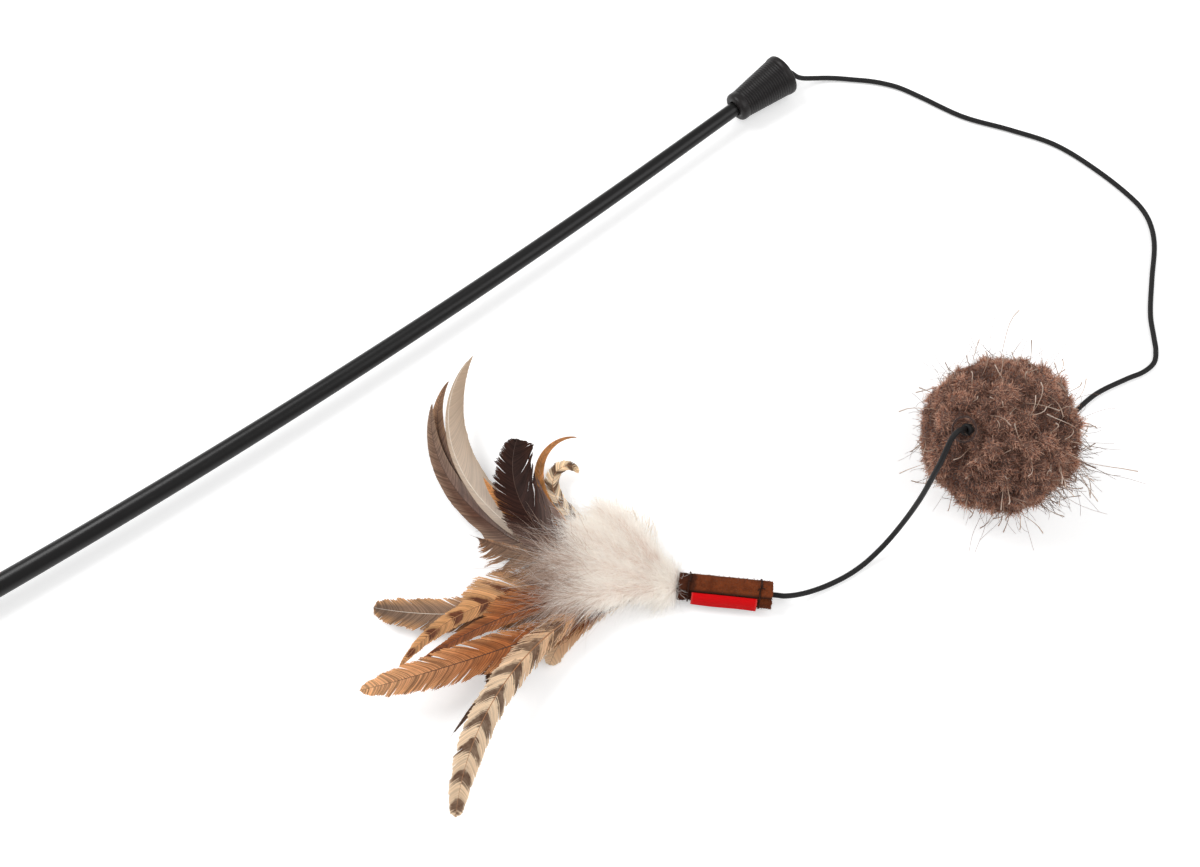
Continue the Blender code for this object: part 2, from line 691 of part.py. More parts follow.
def make_sleeve(finish):
    last = FELT_LAP_EDGE + 360 + FELT_TUCK_ANGLE
    steps = 36
    angles = [FELT_LAP_EDGE + (last - FELT_LAP_EDGE) * i / steps for i in range(steps + 1)]
    half = FELT_THICKNESS / 2
    outside = [section_point(felt_middle(angle) + half, angle) for angle in angles]
    inside = [section_point(felt_middle(angle) - half, angle) for angle in angles]
    extruded("felt_sleeve", outside + inside[::-1], SLEEVE_LENGTH, -SLEEVE_LENGTH, finish)


def make_label(finish):
    """A folded tab whose root lies against the lap's free edge and whose fold hangs past the side."""
    seat = SLEEVE_BORE_DIAMETER / 2 + FELT_THICKNESS + TOUCH_GAP
    drop_start = 12.0
    root = FELT_LAP_EDGE - math.degrees(TOUCH_GAP * 1.3 / seat)
    steps = 8
    angles = [root + (drop_start - root) * i / steps for i in range(steps + 1)]
    wrapped = math.radians(root - drop_start) * seat
    hanging = max(LABEL_DROP - wrapped, 0.0008)
    inner = [section_point(seat, angle) for angle in angles]
    outer = [section_point(seat + LABEL_THICKNESS, angle) for angle in angles]
    hang = section_point(1.0, drop_start - 90) * hanging
    fold = section_point(LABEL_THICKNESS / 2, drop_start - 90)
    tip = (inner[-1] + outer[-1]) / 2 + hang + fold
    outline = outer + [outer[-1] + hang, tip, inner[-1] + hang] + inner[::-1]
    extruded("label", outline, LABEL_LENGTH, -LABEL_START - LABEL_LENGTH, finish)


def make_stitch(name, along, finish):
    """One thread tied round the sleeve, following its rolled outline."""
    offset = STITCH_THREAD_DIAMETER / 2 + TOUCH_GAP
    count = 28
    points = []
    for i in range(count):
        angle = FELT_LAP_EDGE + 360 * i / count
        around = [felt_outside(angle + spread) for spread in (-14, -7, 0, 7, 14)]
        ring = section_point(max(around) + offset, angle)
        points.append(lure_point(along, ring.x + SLEEVE_SIDE_SHIFT, ring.y))
    thread = tube(name, points, STITCH_THREAD_DIAMETER, finish, resolution=1)
    thread.data.splines[0].use_cyclic_u = True


def make_binding(finish):
    """Whipping of thread round the quills where they leave the sleeve."""
    corners = [
        math.hypot(
            abs(column) * QUILL_COLUMN_PITCH + QUILL_WIDTH / 2,
            abs(LOWEST_ROW + row * ROW_PITCH) + QUILL_THICKNESS / 2,
        )
        for _, row, column, *_ in FEATHERS
    ]
    radius = max(corners) + TOUCH_GAP + BINDING_THREAD_DIAMETER / 2
    per_turn = 24
    points = []
    for i in range(BINDING_TURNS * per_turn + 1):
        angle = ring_angle(i, per_turn)
        along = TOUCH_GAP + BINDING_THREAD_DIAMETER / 2 + BINDING_PITCH * i / per_turn
        points.append(lure_point(along, radius * math.cos(angle), radius * math.sin(angle)))
    tube("quill_binding", points, BINDING_THREAD_DIAMETER, finish, resolution=1)
    print(f"quill_binding: least gap {1000 * (BINDING_PITCH - BINDING_THREAD_DIAMETER):.2f} mm")


def make_tail(cord_finish):
    """The cord's end in the sleeve, held by its knot."""
    outside = LURE_HINGE + CORD_DIAMETER / 2 + TOUCH_GAP
    inside = -SLEEVE_LENGTH + TAIL_LENGTH
    points = [lure_point(outside), lure_point((outside + inside) / 2), lure_point(inside)]
    tube("cord_tail", points, CORD_DIAMETER, cord_finish)
    knot_start = inside + TOUCH_GAP
    make_knot("tail_knot", facing(lure_point(knot_start), LURE_HEADING), cord_finish)


def row_height(row, x, y):
    """Height of a row's middle surface: rows part as they leave the binding, the lowest stays level."""
    reach = math.hypot(x - BUNDLE_END, y) if x > BUNDLE_END else 0.0
    height = LOWEST_ROW + row * ROW_PITCH
    return height + (height - LOWEST_ROW) * reach / ROW_FAN_LENGTH


def shaft_line(column, heading, turn, lateness, length, stations):
    """(x, y, heading, distance along) down a feather's shaft, from the binding to the tip."""
    x, y = BUNDLE_END, column * QUILL_COLUMN_PITCH
    line = [(x, y, heading, 0.0)]
    substeps = 8
    step = length / stations / substeps
    for i in range(1, stations * substeps + 1):
        share = (i - 0.5) / (stations * substeps)
        course = heading + turn * share**lateness
        x += step * math.cos(math.radians(course))
        y += step * math.sin(math.radians(course))
        if i % substeps == 0:
            line.append((x, y, heading + turn * (i / (stations * substeps)) ** lateness, i * step))
    return line


def lens_ring(x, y, course, inner, outer, thickness, height):
    """Six points round a blade's section: thin edges on both sides of a raised shaft."""
    side = Vector((-math.sin(math.radians(course)), math.cos(math.radians(course))))
    edge, middle = thickness * 0.3 / 2, thickness / 2
    ring = []
    for reach, lift in (
        (-inner, -edge),
        (0, -middle),
        (outer, -edge),
        (outer, edge),
        (0, middle),
        (-inner, edge),
    ):
        px, py = x + side.x * reach, y + side.y * reach
        ring.append(Vector((px, py, height(px, py) + lift)))
    return ring


def vane_share(share, roundness):
    """How wide the vane is at that share of its length, 1 at the widest."""
    return math.sin(math.pi * min(max(share, 0), 1) ** 0.8) ** roundness


def make_feather(name, row, column, heading, turn, lateness, length, width, roundness, finish):
    bare = min(BARE_QUILL_LENGTH, length * 0.25)
    tip_half_width, quill_half_width = 0.0003, QUILL_WIDTH / 2
    inner_share = INNER_VANE.get(name, 0.5)
    y0 = column * QUILL_COLUMN_PITCH

    def height(x, y):
        return row_height(row, x, y)

    rings = [
        lens_ring(
            -QUILL_DEPTH_IN_SLEEVE, y0, 0, quill_half_width, quill_half_width, QUILL_THICKNESS, height
        ),
    ]
    for x, y, course, along in shaft_line(column, heading, turn, lateness, length, FEATHER_STATIONS):
        share = (along - bare) / (length - bare)
        vane = width * vane_share(share, roundness) if share > 0 else 0.0
        least = tip_half_width if share > 0.8 else quill_half_width
        inner, outer = max(vane * inner_share, least), max(vane * (1 - inner_share), least)
        rings.append(lens_ring(x, y, course, inner, outer, QUILL_THICKNESS, height))
    loft(name, rings, finish, LURE_PLACE)


def make_down_plume(name, length, index, finish):
    """A fluffy plume on top of the bundle: flat below, full above, on a short stem."""
    stations = 10
    start = BUNDLE_END + TOUCH_GAP
    heading = DOWN_FIRST_HEADING + index * DOWN_SPREAD
    column = (index - (len(DOWN_PLUMES) - 1) / 2) * DOWN_COLUMN_PITCH
    stem_half_width, stem_thickness = 0.0004, 0.0004
    rings = []
    for i in range(stations + 1):
        share = i / stations
        along = length * share
        x = start + along * math.cos(math.radians(heading))
        y = column + along * math.sin(math.radians(heading))
        full = math.sin(math.pi * min(max((share - 0.06) / 0.94, 0), 1) ** 0.85) ** 0.7
        own_sector = DOWN_COLUMN_PITCH / 2 + along * math.tan(math.radians(DOWN_SPREAD / 2)) - TOUCH_GAP / 2
        half_width = max(min(DOWN_WIDTH / 2 * full, own_sector), stem_half_width)
        thickness = max(DOWN_THICKNESS * full, stem_thickness)
        side = Vector((-math.sin(math.radians(heading)), math.cos(math.radians(heading))))
        ring = []
        for across, lift in ((-1, 0.12), (-0.5, 0), (0.5, 0), (1, 0.12), (0.8, 0.62), (0, 1), (-0.8, 0.62)):
            px, py = x + side.x * across * half_width, y + side.y * across * half_width
            bottom = row_height(ROW_COUNT, px, py) - QUILL_THICKNESS / 2
            ring.append(Vector((px, py, bottom + lift * thickness)))
        rings.append(ring)
    loft(name, rings, finish, LURE_PLACE)


def make_feathers():
    finishes = {}
    for name, row, column, heading, turn, lateness, length, width, roundness in FEATHERS:
        tone = name.rsplit("_", 1)[1]
        if tone not in finishes:
            finishes[tone] = material("feather_" + tone, FEATHER_COLOURS[tone], 0.6)
        make_feather(
            name, row, column, heading, turn, lateness, length, width, roundness, finishes[tone]
        )


clear_scene()
PARTS = new_collection("feather_cat_wand")
CUTTERS = new_collection("cutters")

black_plastic = material("black_plastic", (0.012, 0.012, 0.013), 0.38)
black_rubber = material("black_rubber", (0.018, 0.017, 0.018), 0.62)
cord_black = material("cord_black", (0.016, 0.015, 0.016), 0.55)
taupe_plush = material("taupe_plush", (0.27, 0.18, 0.14), 0.9)
white_stuffing = material("white_stuffing", (0.80, 0.79, 0.76), 0.9)
dark_thread = material("dark_thread", (0.035, 0.020, 0.014), 0.7)
brown_felt = material("brown_felt", (0.20, 0.075, 0.028), 0.95)
red_label = material("red_label", (0.70, 0.012, 0.022), 0.55)
white_down = material("white_down", (0.82, 0.76, 0.72), 0.9)

make_rod(black_plastic)
make_grip(black_rubber)
make_tip_cap(black_rubber)
make_cord_in_cap(cord_black)
make_line(cord_black)
make_ball(taupe_plush, white_stuffing, dark_thread)
make_sleeve(brown_felt)
make_label(red_label)
make_stitch("sleeve_stitch", -SLEEVE_LENGTH + STITCH_FROM_CORD_END, dark_thread)
make_stitch("mouth_stitch", -STITCH_FROM_MOUTH, dark_thread)
make_binding(dark_thread)
make_tail(cord_black)
make_feathers()
for plume, (plume_name, plume_length) in enumerate(DOWN_PLUMES):
    make_down_plume(plume_name, plume_length, plume, white_down)
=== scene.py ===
import json
import math

import bmesh
import bpy
from mathutils import Matrix, Vector, noise
from mathutils.geometry import interpolate_bezier


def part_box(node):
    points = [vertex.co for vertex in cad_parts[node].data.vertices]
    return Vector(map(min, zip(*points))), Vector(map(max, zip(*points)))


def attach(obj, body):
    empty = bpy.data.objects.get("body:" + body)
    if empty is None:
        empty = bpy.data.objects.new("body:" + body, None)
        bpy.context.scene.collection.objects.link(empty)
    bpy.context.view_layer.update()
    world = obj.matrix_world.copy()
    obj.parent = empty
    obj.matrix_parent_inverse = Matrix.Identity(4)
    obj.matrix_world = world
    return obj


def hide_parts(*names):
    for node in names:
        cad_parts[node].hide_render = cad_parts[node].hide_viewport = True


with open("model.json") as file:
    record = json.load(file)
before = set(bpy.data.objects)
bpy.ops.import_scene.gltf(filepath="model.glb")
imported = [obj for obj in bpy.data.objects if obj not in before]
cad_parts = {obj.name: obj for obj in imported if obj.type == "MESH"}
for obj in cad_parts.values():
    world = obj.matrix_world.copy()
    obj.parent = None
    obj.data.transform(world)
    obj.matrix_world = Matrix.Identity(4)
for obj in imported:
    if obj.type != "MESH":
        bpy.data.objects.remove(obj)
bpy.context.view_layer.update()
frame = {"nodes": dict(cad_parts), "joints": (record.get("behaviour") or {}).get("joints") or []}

# Stage
# The toy lies on a plain white sweep under soft studio light, seen from above its side. The sweep
# is white to the camera and to gloss, and keeps the toy's shadow.
FLOOR_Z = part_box("tip_cap")[0][2]
CAMERA_HEIGHT = 0.602
CAMERA_PITCH = 70.0
CAMERA_HEADING = 57.93
CAMERA_PLACE = (0.2381, -0.2497, FLOOR_Z + CAMERA_HEIGHT)
SWEEP_SIZE = 8.0
SWEEP_GLOW = 0.35


def put(tree, kind, inputs=None, **settings):
    """Adds a node: inputs are values or sockets by name or number, and settings its own options."""
    node = tree.nodes.new(kind)
    for option, value in settings.items():
        setattr(node, option, value)
    for key, value in (inputs or {}).items():
        socket = node.inputs[key]
        if isinstance(value, bpy.types.NodeSocket):
            tree.links.new(value, socket)
        else:
            socket.default_value = value
    return node


def take(tree, kind, inputs=None, **settings):
    """Adds a node and reads its first output."""
    return put(tree, kind, inputs, **settings).outputs[0]


def tree_of(*values):
    """The tree that holds the sockets among the values."""
    return next(value.id_data for value in values if isinstance(value, bpy.types.NodeSocket))


def calc(operation, *values):
    """A Math node's result."""
    tree = tree_of(*values)
    return take(tree, "ShaderNodeMath", dict(enumerate(values)), operation=operation)


def times(first, second):
    return calc("MULTIPLY", first, second)


def times_plus(first, second, third):
    return calc("MULTIPLY_ADD", first, second, third)


def minus(first, second):
    return calc("SUBTRACT", first, second)


def new_finish(name):
    """An empty material: returns it, its tree and its surface socket."""
    made = bpy.data.materials.new(name)
    made.use_nodes = True
    made.node_tree.nodes.clear()
    output = made.node_tree.nodes.new("ShaderNodeOutputMaterial")
    return made, made.node_tree, output.inputs["Surface"]


def add_piece(name, mesh, finish=None):
    """An object for a mesh, with its finish."""
    if finish:
        mesh.materials.append(finish)
    made = bpy.data.objects.new(name, mesh)
    bpy.context.scene.collection.objects.link(made)
    return made


def mesh_from(name, shape, smooth=True):
    """Closes the edit of a bmesh into a mesh."""
    mesh = bpy.data.meshes.new(name)
    shape.to_mesh(mesh)
    shape.free()
    if smooth:
        mesh.shade_smooth()
    return mesh


sweep_shape = bmesh.new()
bmesh.ops.create_grid(sweep_shape, x_segments=1, y_segments=1, size=SWEEP_SIZE / 2)
bmesh.ops.translate(sweep_shape, verts=sweep_shape.verts, vec=(0.25, 0, FLOOR_Z - 0.0002))
sweep_finish, tree, surface = new_finish("sweep_white")
rays = put(tree, "ShaderNodeLightPath").outputs
seen = calc("MAXIMUM", rays["Is Camera Ray"], rays["Is Glossy Ray"])
paper = put(
    tree,
    "ShaderNodeBsdfPrincipled",
    {"Base Color": (0.86, 0.86, 0.86, 1), "Roughness": 0.9, "Emission Color": (1, 1, 1, 1)},
)
tree.links.new(times(seen, SWEEP_GLOW), paper.inputs["Emission Strength"])
tree.links.new(paper.outputs[0], surface)
sweep = add_piece("sweep", mesh_from("sweep", sweep_shape, smooth=False), sweep_finish)

world = bpy.data.worlds.new("studio")
world.use_nodes = True
sky = world.node_tree.nodes["Background"]
sky.inputs["Color"].default_value = (1.0, 1.0, 1.0, 1)
sky.inputs["Strength"].default_value = 0.55
bpy.context.scene.world = world
bpy.context.scene.view_settings.view_transform = "Standard"


def add_softbox(name, place, size, power):
    lamp = bpy.data.lights.new(name, "AREA")
    lamp.shape = "DISK"
    lamp.size = size
    lamp.energy = power
    made = bpy.data.objects.new(name, lamp)
    made.location = place
    towards = Vector((0.38, -0.08, 0)) - Vector(place)
    made.rotation_euler = towards.to_track_quat("-Z", "Y").to_euler()
    bpy.context.scene.collection.objects.link(made)


add_softbox("softbox_key", (-0.15, 0.75, 1.15), 0.8, 13.0)
add_softbox("softbox_fill", (1.05, -0.65, 1.05), 1.2, 7.0)

camera_data = bpy.data.cameras.new("camera")
camera_data.lens = 50.0
camera_data.sensor_width = 36.0
camera_data.clip_start = 0.01
camera_data.clip_end = 20.0
camera = bpy.data.objects.new("camera", camera_data)
camera.location = CAMERA_PLACE
camera.rotation_euler = (math.radians(90 - CAMERA_PITCH), 0, math.radians(CAMERA_HEADING - 90))
bpy.context.scene.collection.objects.link(camera)
bpy.context.scene.camera = camera

# Cord
# One woven black cord of 2 mm runs from the cap through the ball to the felt sleeve and lies in
# loose curves. Its free stretches and its end in the sleeve are tubes, with the braid's strands in
# their material, painted lighter on their crests and darker between them as painted light and
# shade, and a barrel knot stands at each side of the ball.
CORD_DIAMETER = 0.0020
CORD_SIDES = 20
CORD_RING_STEP = 0.0007
CORD_UPPER_ROUTE = (
    (0.5040, 0.0255, 0.0073), (0.5054, 0.0240, 0.0058), (0.5072, 0.0230, 0.0045),
    (0.5096, 0.0221, 0.0034), (0.5133, 0.0206, 0.0024), (0.5175, 0.0186, 0.0017),
    (0.5216, 0.0161, 0.0013), (0.5266, 0.0124, 0.0011), (0.5322, 0.0080, 0.0011),
    (0.5364, 0.0040, 0.0011), (0.5406, -0.0010, 0.0011), (0.5453, -0.0090, 0.0011),
    (0.5548, -0.0261, 0.0011), (0.5675, -0.0413, 0.0011), (0.5789, -0.0567, 0.0011),
    (0.5860, -0.0748, 0.0011), (0.5904, -0.0938, 0.0011), (0.5900, -0.1036, 0.0011),
    (0.5854, -0.1133, 0.0011), (0.5747, -0.1253, 0.0011), (0.5644, -0.1373, 0.0011),
    (0.5592, -0.1461, 0.0011), (0.5565, -0.1506, 0.0011), (0.5528, -0.1541, 0.0011),
    (0.5470, -0.1550, 0.0011), (0.5400, -0.1539, 0.0011), (0.5265, -0.1525, 0.0011),
    (0.5160, -0.1537, 0.0011), (0.5080, -0.1556, 0.0011), (0.5022, -0.1567, 0.0013),
    (0.4972, -0.1571, 0.0024),
)
CORD_LOWER_ROUTE = (
    (0.4512, -0.1470, 0.0559), (0.4498, -0.1470, 0.0565), (0.4482, -0.1473, 0.0565),
    (0.4468, -0.1478, 0.0560), (0.4458, -0.1483, 0.0550), (0.4435, -0.1498, 0.0520),
    (0.4413, -0.1513, 0.0486), (0.4390, -0.1526, 0.0443), (0.4365, -0.1540, 0.0383),
    (0.4337, -0.1554, 0.0300), (0.4303, -0.1566, 0.0212), (0.4262, -0.1577, 0.0130),
    (0.4210, -0.1589, 0.0066), (0.4155, -0.1599, 0.0031), (0.4095, -0.1607, 0.0015),
    (0.4022, -0.1609, 0.0011), (0.3946, -0.1602, 0.0012), (0.3876, -0.1590, 0.0022),
    (0.3820, -0.1576, 0.0039),
)
BALL_DIAMETER = 0.064
BALL_PILE_LENGTH = 0.008
TOUCH_GAP = 0.0003
KNOT_LENGTH = 0.0045
KNOT_TURNS = 3
KNOT_COIL_RADIUS = 0.0014
KNOT_SWELL = 0.56
KNOT_SIDES = 12
TAIL_STEP = 0.0005
TAIL_STEPS = 22
LURE_HEADING = 141.9

joints = {joint["name"]: joint for joint in frame["joints"]}
LINE_HINGE = Vector(joints["line_swing"]["pos_m"])
LURE_HINGE = Vector(joints["lure_swing"]["pos_m"])
BALL_CENTRE = Vector(joints["ball_spin"]["pos_m"])
BORE_DIRECTION = Vector(joints["ball_spin"]["axis"]).normalized()
CORE_HALF_LENGTH = BALL_DIAMETER / 2 - BALL_PILE_LENGTH
KNOT_START = CORE_HALF_LENGTH + TOUCH_GAP
CORD_START_IN_HOLE = KNOT_START + KNOT_LENGTH + TOUCH_GAP


def level(heading):
    """The level direction at that heading in degrees."""
    return Vector((math.cos(math.radians(heading)), math.sin(math.radians(heading)), 0))


LURE_DIRECTION = level(LURE_HEADING)


def smooth_line(route, step):
    """Evenly spaced points read from one smooth curve through the route's points."""
    tangents = []
    for i in range(len(route)):
        before, after = route[max(i - 1, 0)], route[min(i + 1, len(route) - 1)]
        tangents.append((after - before).normalized())
    fine = [route[0]]
    for i in range(len(route) - 1):
        handle = (route[i + 1] - route[i]).length / 3
        first, last = route[i] + tangents[i] * handle, route[i + 1] - tangents[i + 1] * handle
        fine += interpolate_bezier(route[i], first, last, route[i + 1], 24)[1:]
    whole = sum((b - a).length for a, b in zip(fine, fine[1:]))
    count = max(round(whole / step), 2)
    even, run, target = [fine[0]], 0.0, whole / count
    for a, b in zip(fine, fine[1:]):
        length = (b - a).length
        while run + length >= target and len(even) < count:
            even.append(a.lerp(b, (target - run) / length))
            target += whole / count
        run += length
    return even + [fine[-1]]


def skin_rings(shape, rings, wrap=None, heights=None):
    """Faces between rings of vertices; a map, if given, runs once round and up by the heights."""
    for i, (low, high) in enumerate(zip(rings, rings[1:])):
        for j in range(len(low)):
            k = (j + 1) % len(low)
            face = shape.faces.new((low[j], low[k], high[k], high[j]))
            if wrap:
                corners = ((j, i), (j + 1, i), (j + 1, i + 1), (j, i + 1))
                for loop, (u, v) in zip(face.loops, corners):
                    loop[wrap].uv = (u / len(low), heights[v])


def close_rings(shape, rings, wrap=None, heights=None):
    """Skins the rings, shuts both ends and turns the faces outwards."""
    skin_rings(shape, rings, wrap, heights)
    shape.faces.new(rings[0])
    shape.faces.new(rings[-1])
    bmesh.ops.recalc_face_normals(shape, faces=shape.faces)


def tube_mesh(name, line, radius_at, sides):
    """A closed round tube along a line; its map 'wrap' runs once round and, along, in metres."""
    shape = bmesh.new()
    wrap = shape.loops.layers.uv.new("wrap")
    across = (line[1] - line[0]).orthogonal().normalized()
    rings, runs, run = [], [], 0.0
    for i, point in enumerate(line):
        if i:
            run += (point - line[i - 1]).length
        ahead = (line[min(i + 1, len(line) - 1)] - line[max(i - 1, 0)]).normalized()
        across = (across - ahead * across.dot(ahead)).normalized()
        other = ahead.cross(across)
        ring = []
        for j in range(sides):
            angle = 2 * math.pi * j / sides
            spoke = across * math.cos(angle) + other * math.sin(angle)
            ring.append(shape.verts.new(point + spoke * radius_at(run)))
        rings.append(ring)
        runs.append(run)
    skin_rings(shape, rings, wrap, runs)
    shape.faces.new(rings[0][::-1])
    shape.faces.new(rings[-1])
    return mesh_from(name, shape)


def new_group(name, kind, inputs, outputs):
    """An empty node group with named sockets of each kind: returns it, its inputs and its results."""
    tree = bpy.data.node_groups.new(name, kind)
    for direction, sockets in (("INPUT", inputs), ("OUTPUT", outputs)):
        for socket_kind, labels in sockets.items():
            for label in labels:
                socket_type = "NodeSocket" + socket_kind
                tree.interface.new_socket(label, in_out=direction, socket_type=socket_type)
    given = tree.nodes.new("NodeGroupInput").outputs
    return tree, given, tree.nodes.new("NodeGroupOutput").inputs


def build_braid():
    """Shared effect: crossed strands of a round braid, read from the 'wrap' map."""
    tree, given, result = new_group(
        "braid", "ShaderNodeTree", {"Float": ("Strands", "Turn")}, {"Float": ("Height",)}
    )
    wrap = take(tree, "ShaderNodeUVMap", uv_map="wrap")
    place = put(tree, "ShaderNodeSeparateXYZ", {0: wrap}).outputs
    along = calc("DIVIDE", place[1], given["Turn"])
    strands = []
    for hand in (1.0, -1.0):
        spiral = times_plus(along, hand, place[0])
        phase = times(times(spiral, given["Strands"]), 2 * math.pi)
        strands.append(calc("ABSOLUTE", calc("SINE", phase)))
    tree.links.new(calc("POWER", calc("MAXIMUM", *strands), 0.5), result["Height"])
    return tree


braid = build_braid()


def add_group(tree, group, **values):
    """Places a shared effect with its values."""
    inputs = {name.replace("_", " ").title(): value for name, value in values.items()}
    return put(tree, "ShaderNodeGroup", inputs, node_tree=group).outputs


def blend_colours(share, first, second):
    """A colour from first at share 0 to second at share 1."""
    values = {0: share, 6: first, 7: second}
    return put(tree_of(share), "ShaderNodeMix", values, data_type="RGBA").outputs[2]


def dye(red, green, blue):
    """A colour from its 8-bit screen values."""
    return (*(((value / 255 + 0.055) / 1.055) ** 2.4 for value in (red, green, blue)), 1)


def object_place(tree):
    """Object coordinates."""
    return put(tree, "ShaderNodeTexCoord").outputs["Object"]


def clouds(place, scale, detail, roughness=0.5, distortion=0.0):
    """A noise texture's value."""
    values = {0: place, 2: scale, 3: detail, 4: roughness, 8: distortion}
    return take(tree_of(place), "ShaderNodeTexNoise", values)


def lay_surface(tree, surface, colour, roughness, relief, gloss=0.5, sheen=0.0):
    """A solid's surface; its relief is a share, a depth in metres and a height."""
    share, depth, height = relief
    bumps = take(tree, "ShaderNodeBump", {0: share, 1: depth, 3: height})
    values = {"Base Color": colour, "Roughness": roughness, "Normal": bumps}
    values.update({"Specular IOR Level": gloss, "Sheen Weight": sheen})
    tree.links.new(take(tree, "ShaderNodeBsdfPrincipled", values), surface)


cord_finish, tree, surface = new_finish("woven_black_cord")
weave = add_group(tree, braid, strands=8.0, turn=0.0042)
fuzz = clouds(object_place(tree), 2600.0, 3.0)
# Painted light: the braid's strands are painted lighter on their crests and darker in the grooves
# between them, mottled by fine noise.
crest_light_and_fuzz = times(weave["Height"], fuzz)
cord_colour = blend_colours(crest_light_and_fuzz, dye(5, 5, 5), dye(26, 24, 25))
lay_surface(tree, surface, cord_colour, 0.5, (0.7, 0.00012, weave["Height"]), gloss=0.3)


def cord_radius(length, round_start=False, round_end=False):
    """The cord's radius along it; an end that turns at a joint is rounded like a ball."""
    half = CORD_DIAMETER / 2

    def radius_at(run):
        near = min(run if round_start else half, length - run if round_end else half, half)
        return max(math.sqrt(max(half * half - (half - near) ** 2, 0)), half * 0.05)

    return radius_at


def free_cord(name, node, route, round_start=False, round_end=False):
    """A free stretch of the cord, which stands for its solid."""
    line = smooth_line(route, CORD_RING_STEP)
    half = CORD_DIAMETER / 2
    dome = [half * share for share in (0.25, 0.5, 0.7, 0.85, 0.95, 1.0)]
    shown = list(line)
    if round_start:
        back = (line[0] - line[1]).normalized()
        shown = [line[0] + back * reach for reach in dome][::-1] + shown
    if round_end:
        ahead = (line[-1] - line[-2]).normalized()
        shown += [line[-1] + ahead * reach for reach in dome]
    whole = sum((b - a).length for a, b in zip(shown, shown[1:]))
    radius_at = cord_radius(whole, round_start, round_end)
    piece = add_piece(name, tube_mesh(name, shown, radius_at, CORD_SIDES), cord_finish)
    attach(piece, "line")
    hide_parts(node)


def along_bore(distance):
    return BALL_CENTRE + BORE_DIRECTION * distance


def make_knot(name, node, start, direction):
    """A barrel knot: the cord coiled in touching turns round itself."""
    turn_width = KNOT_LENGTH / KNOT_TURNS
    frame_turn = direction.to_track_quat("Z", "Y").to_matrix()
    line = []
    per_turn = 20
    count = KNOT_TURNS * per_turn
    inset = CORD_DIAMETER * 0.42
    for i in range(count + 1):
        angle = 2 * math.pi * i / per_turn
        x, y = math.cos(angle) * KNOT_COIL_RADIUS, math.sin(angle) * KNOT_COIL_RADIUS
        rise = inset + (KNOT_LENGTH - 2 * inset) * i / count
        line.append(start + frame_turn @ Vector((x, y, rise)))
    mesh = tube_mesh(name, line, lambda run: turn_width * KNOT_SWELL, KNOT_SIDES)
    piece = add_piece(name, mesh, cord_finish)
    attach(piece, "line")
    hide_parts(node)
    return piece


upper_knot = make_knot("stop_knot_upper", "knot_upper", along_bore(-KNOT_START), -BORE_DIRECTION)
lower_knot = make_knot("stop_knot_lower", "knot_lower", along_bore(KNOT_START), BORE_DIRECTION)
upper_route = [LINE_HINGE]
upper_route += [Vector((x, y, FLOOR_Z + height)) for x, y, height in CORD_UPPER_ROUTE]
upper_route += [along_bore(-BALL_DIAMETER / 2 - 0.0005), along_bore(-CORD_START_IN_HOLE)]
lower_route = [along_bore(CORD_START_IN_HOLE), along_bore(CORD_START_IN_HOLE + CORD_DIAMETER / 2)]
lower_route += [Vector((x, y, FLOOR_Z + height)) for x, y, height in CORD_LOWER_ROUTE]
lower_route += [LURE_HINGE - LURE_DIRECTION * 0.0025, LURE_HINGE]
free_cord(
    "cord_to_ball", "cord_upper", upper_route,
    round_start=True,
)
free_cord(
    "cord_to_lure", "cord_lower", lower_route,
    round_end=True,
)

dome = (1, 0.9, 0.7, 0.4)
tail_line = [LURE_HINGE - LURE_DIRECTION * CORD_DIAMETER / 2 * reach for reach in dome]
tail_line += [LURE_HINGE + LURE_DIRECTION * TAIL_STEP * i for i in range(TAIL_STEPS + 1)]
tail_radius = cord_radius(TAIL_STEPS * TAIL_STEP + CORD_DIAMETER / 2, round_start=True)
tail_mesh = tube_mesh("cord_in_sleeve", tail_line, tail_radius, CORD_SIDES)
tail = add_piece("cord_in_sleeve", tail_mesh, cord_finish)
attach(tail, "lure")
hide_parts("cord_tail")


def coat(finish, *nodes):
    """Gives CAD nodes that stay as they are their finish."""
    for node in nodes:
        for slot in frame["nodes"][node].material_slots:
            slot.material = finish


coat(cord_finish, "cord_in_cap", "anchor_knot", "cord_core", "tail_knot")

# Rod
# A tapered rod of black moulded plastic, a little bowed, with a satin gloss. It is pressed into
# the grip and the tip cap.
WAND_LENGTH = 0.5015
ROD_BUTT_DIAMETER = 0.0090
ROD_TIP_DIAMETER = 0.0057
ROD_BOW_RADIUS = 2.80
ROD_BOW_START = 0.110
ROD_BOW_END = 0.440
ROD_START = 0.0043
ROD_SIDES = 48
CAP_LENGTH = 0.0264
CAP_ROD_SEAT = 0.0150
ROD_END = WAND_LENGTH - CAP_LENGTH + CAP_ROD_SEAT


def wand_point(along):
    """The point on the rod's axis at that length from the butt."""
    if along <= ROD_BOW_START:
        return Vector((along, 0, 0))
    turn = min(along - ROD_BOW_START, ROD_BOW_END - ROD_BOW_START) / ROD_BOW_RADIUS
    straight = max(along - ROD_BOW_END, 0)
    x = ROD_BOW_START + ROD_BOW_RADIUS * math.sin(turn) + straight * math.cos(turn)
    y = ROD_BOW_RADIUS * (1 - math.cos(turn)) + straight * math.sin(turn)
    return Vector((x, y, 0))


def rod_radius(along):
    share = along / ROD_END
    return (ROD_BUTT_DIAMETER + (ROD_TIP_DIAMETER - ROD_BUTT_DIAMETER) * share) / 2


def ramp(value, start, end, low=0.0, high=1.0):
    """Runs from low to high while the value goes from start to end."""
    limits = {0: value, 1: start, 2: end, 3: low, 4: high}
    return take(tree_of(value), "ShaderNodeMapRange", limits)


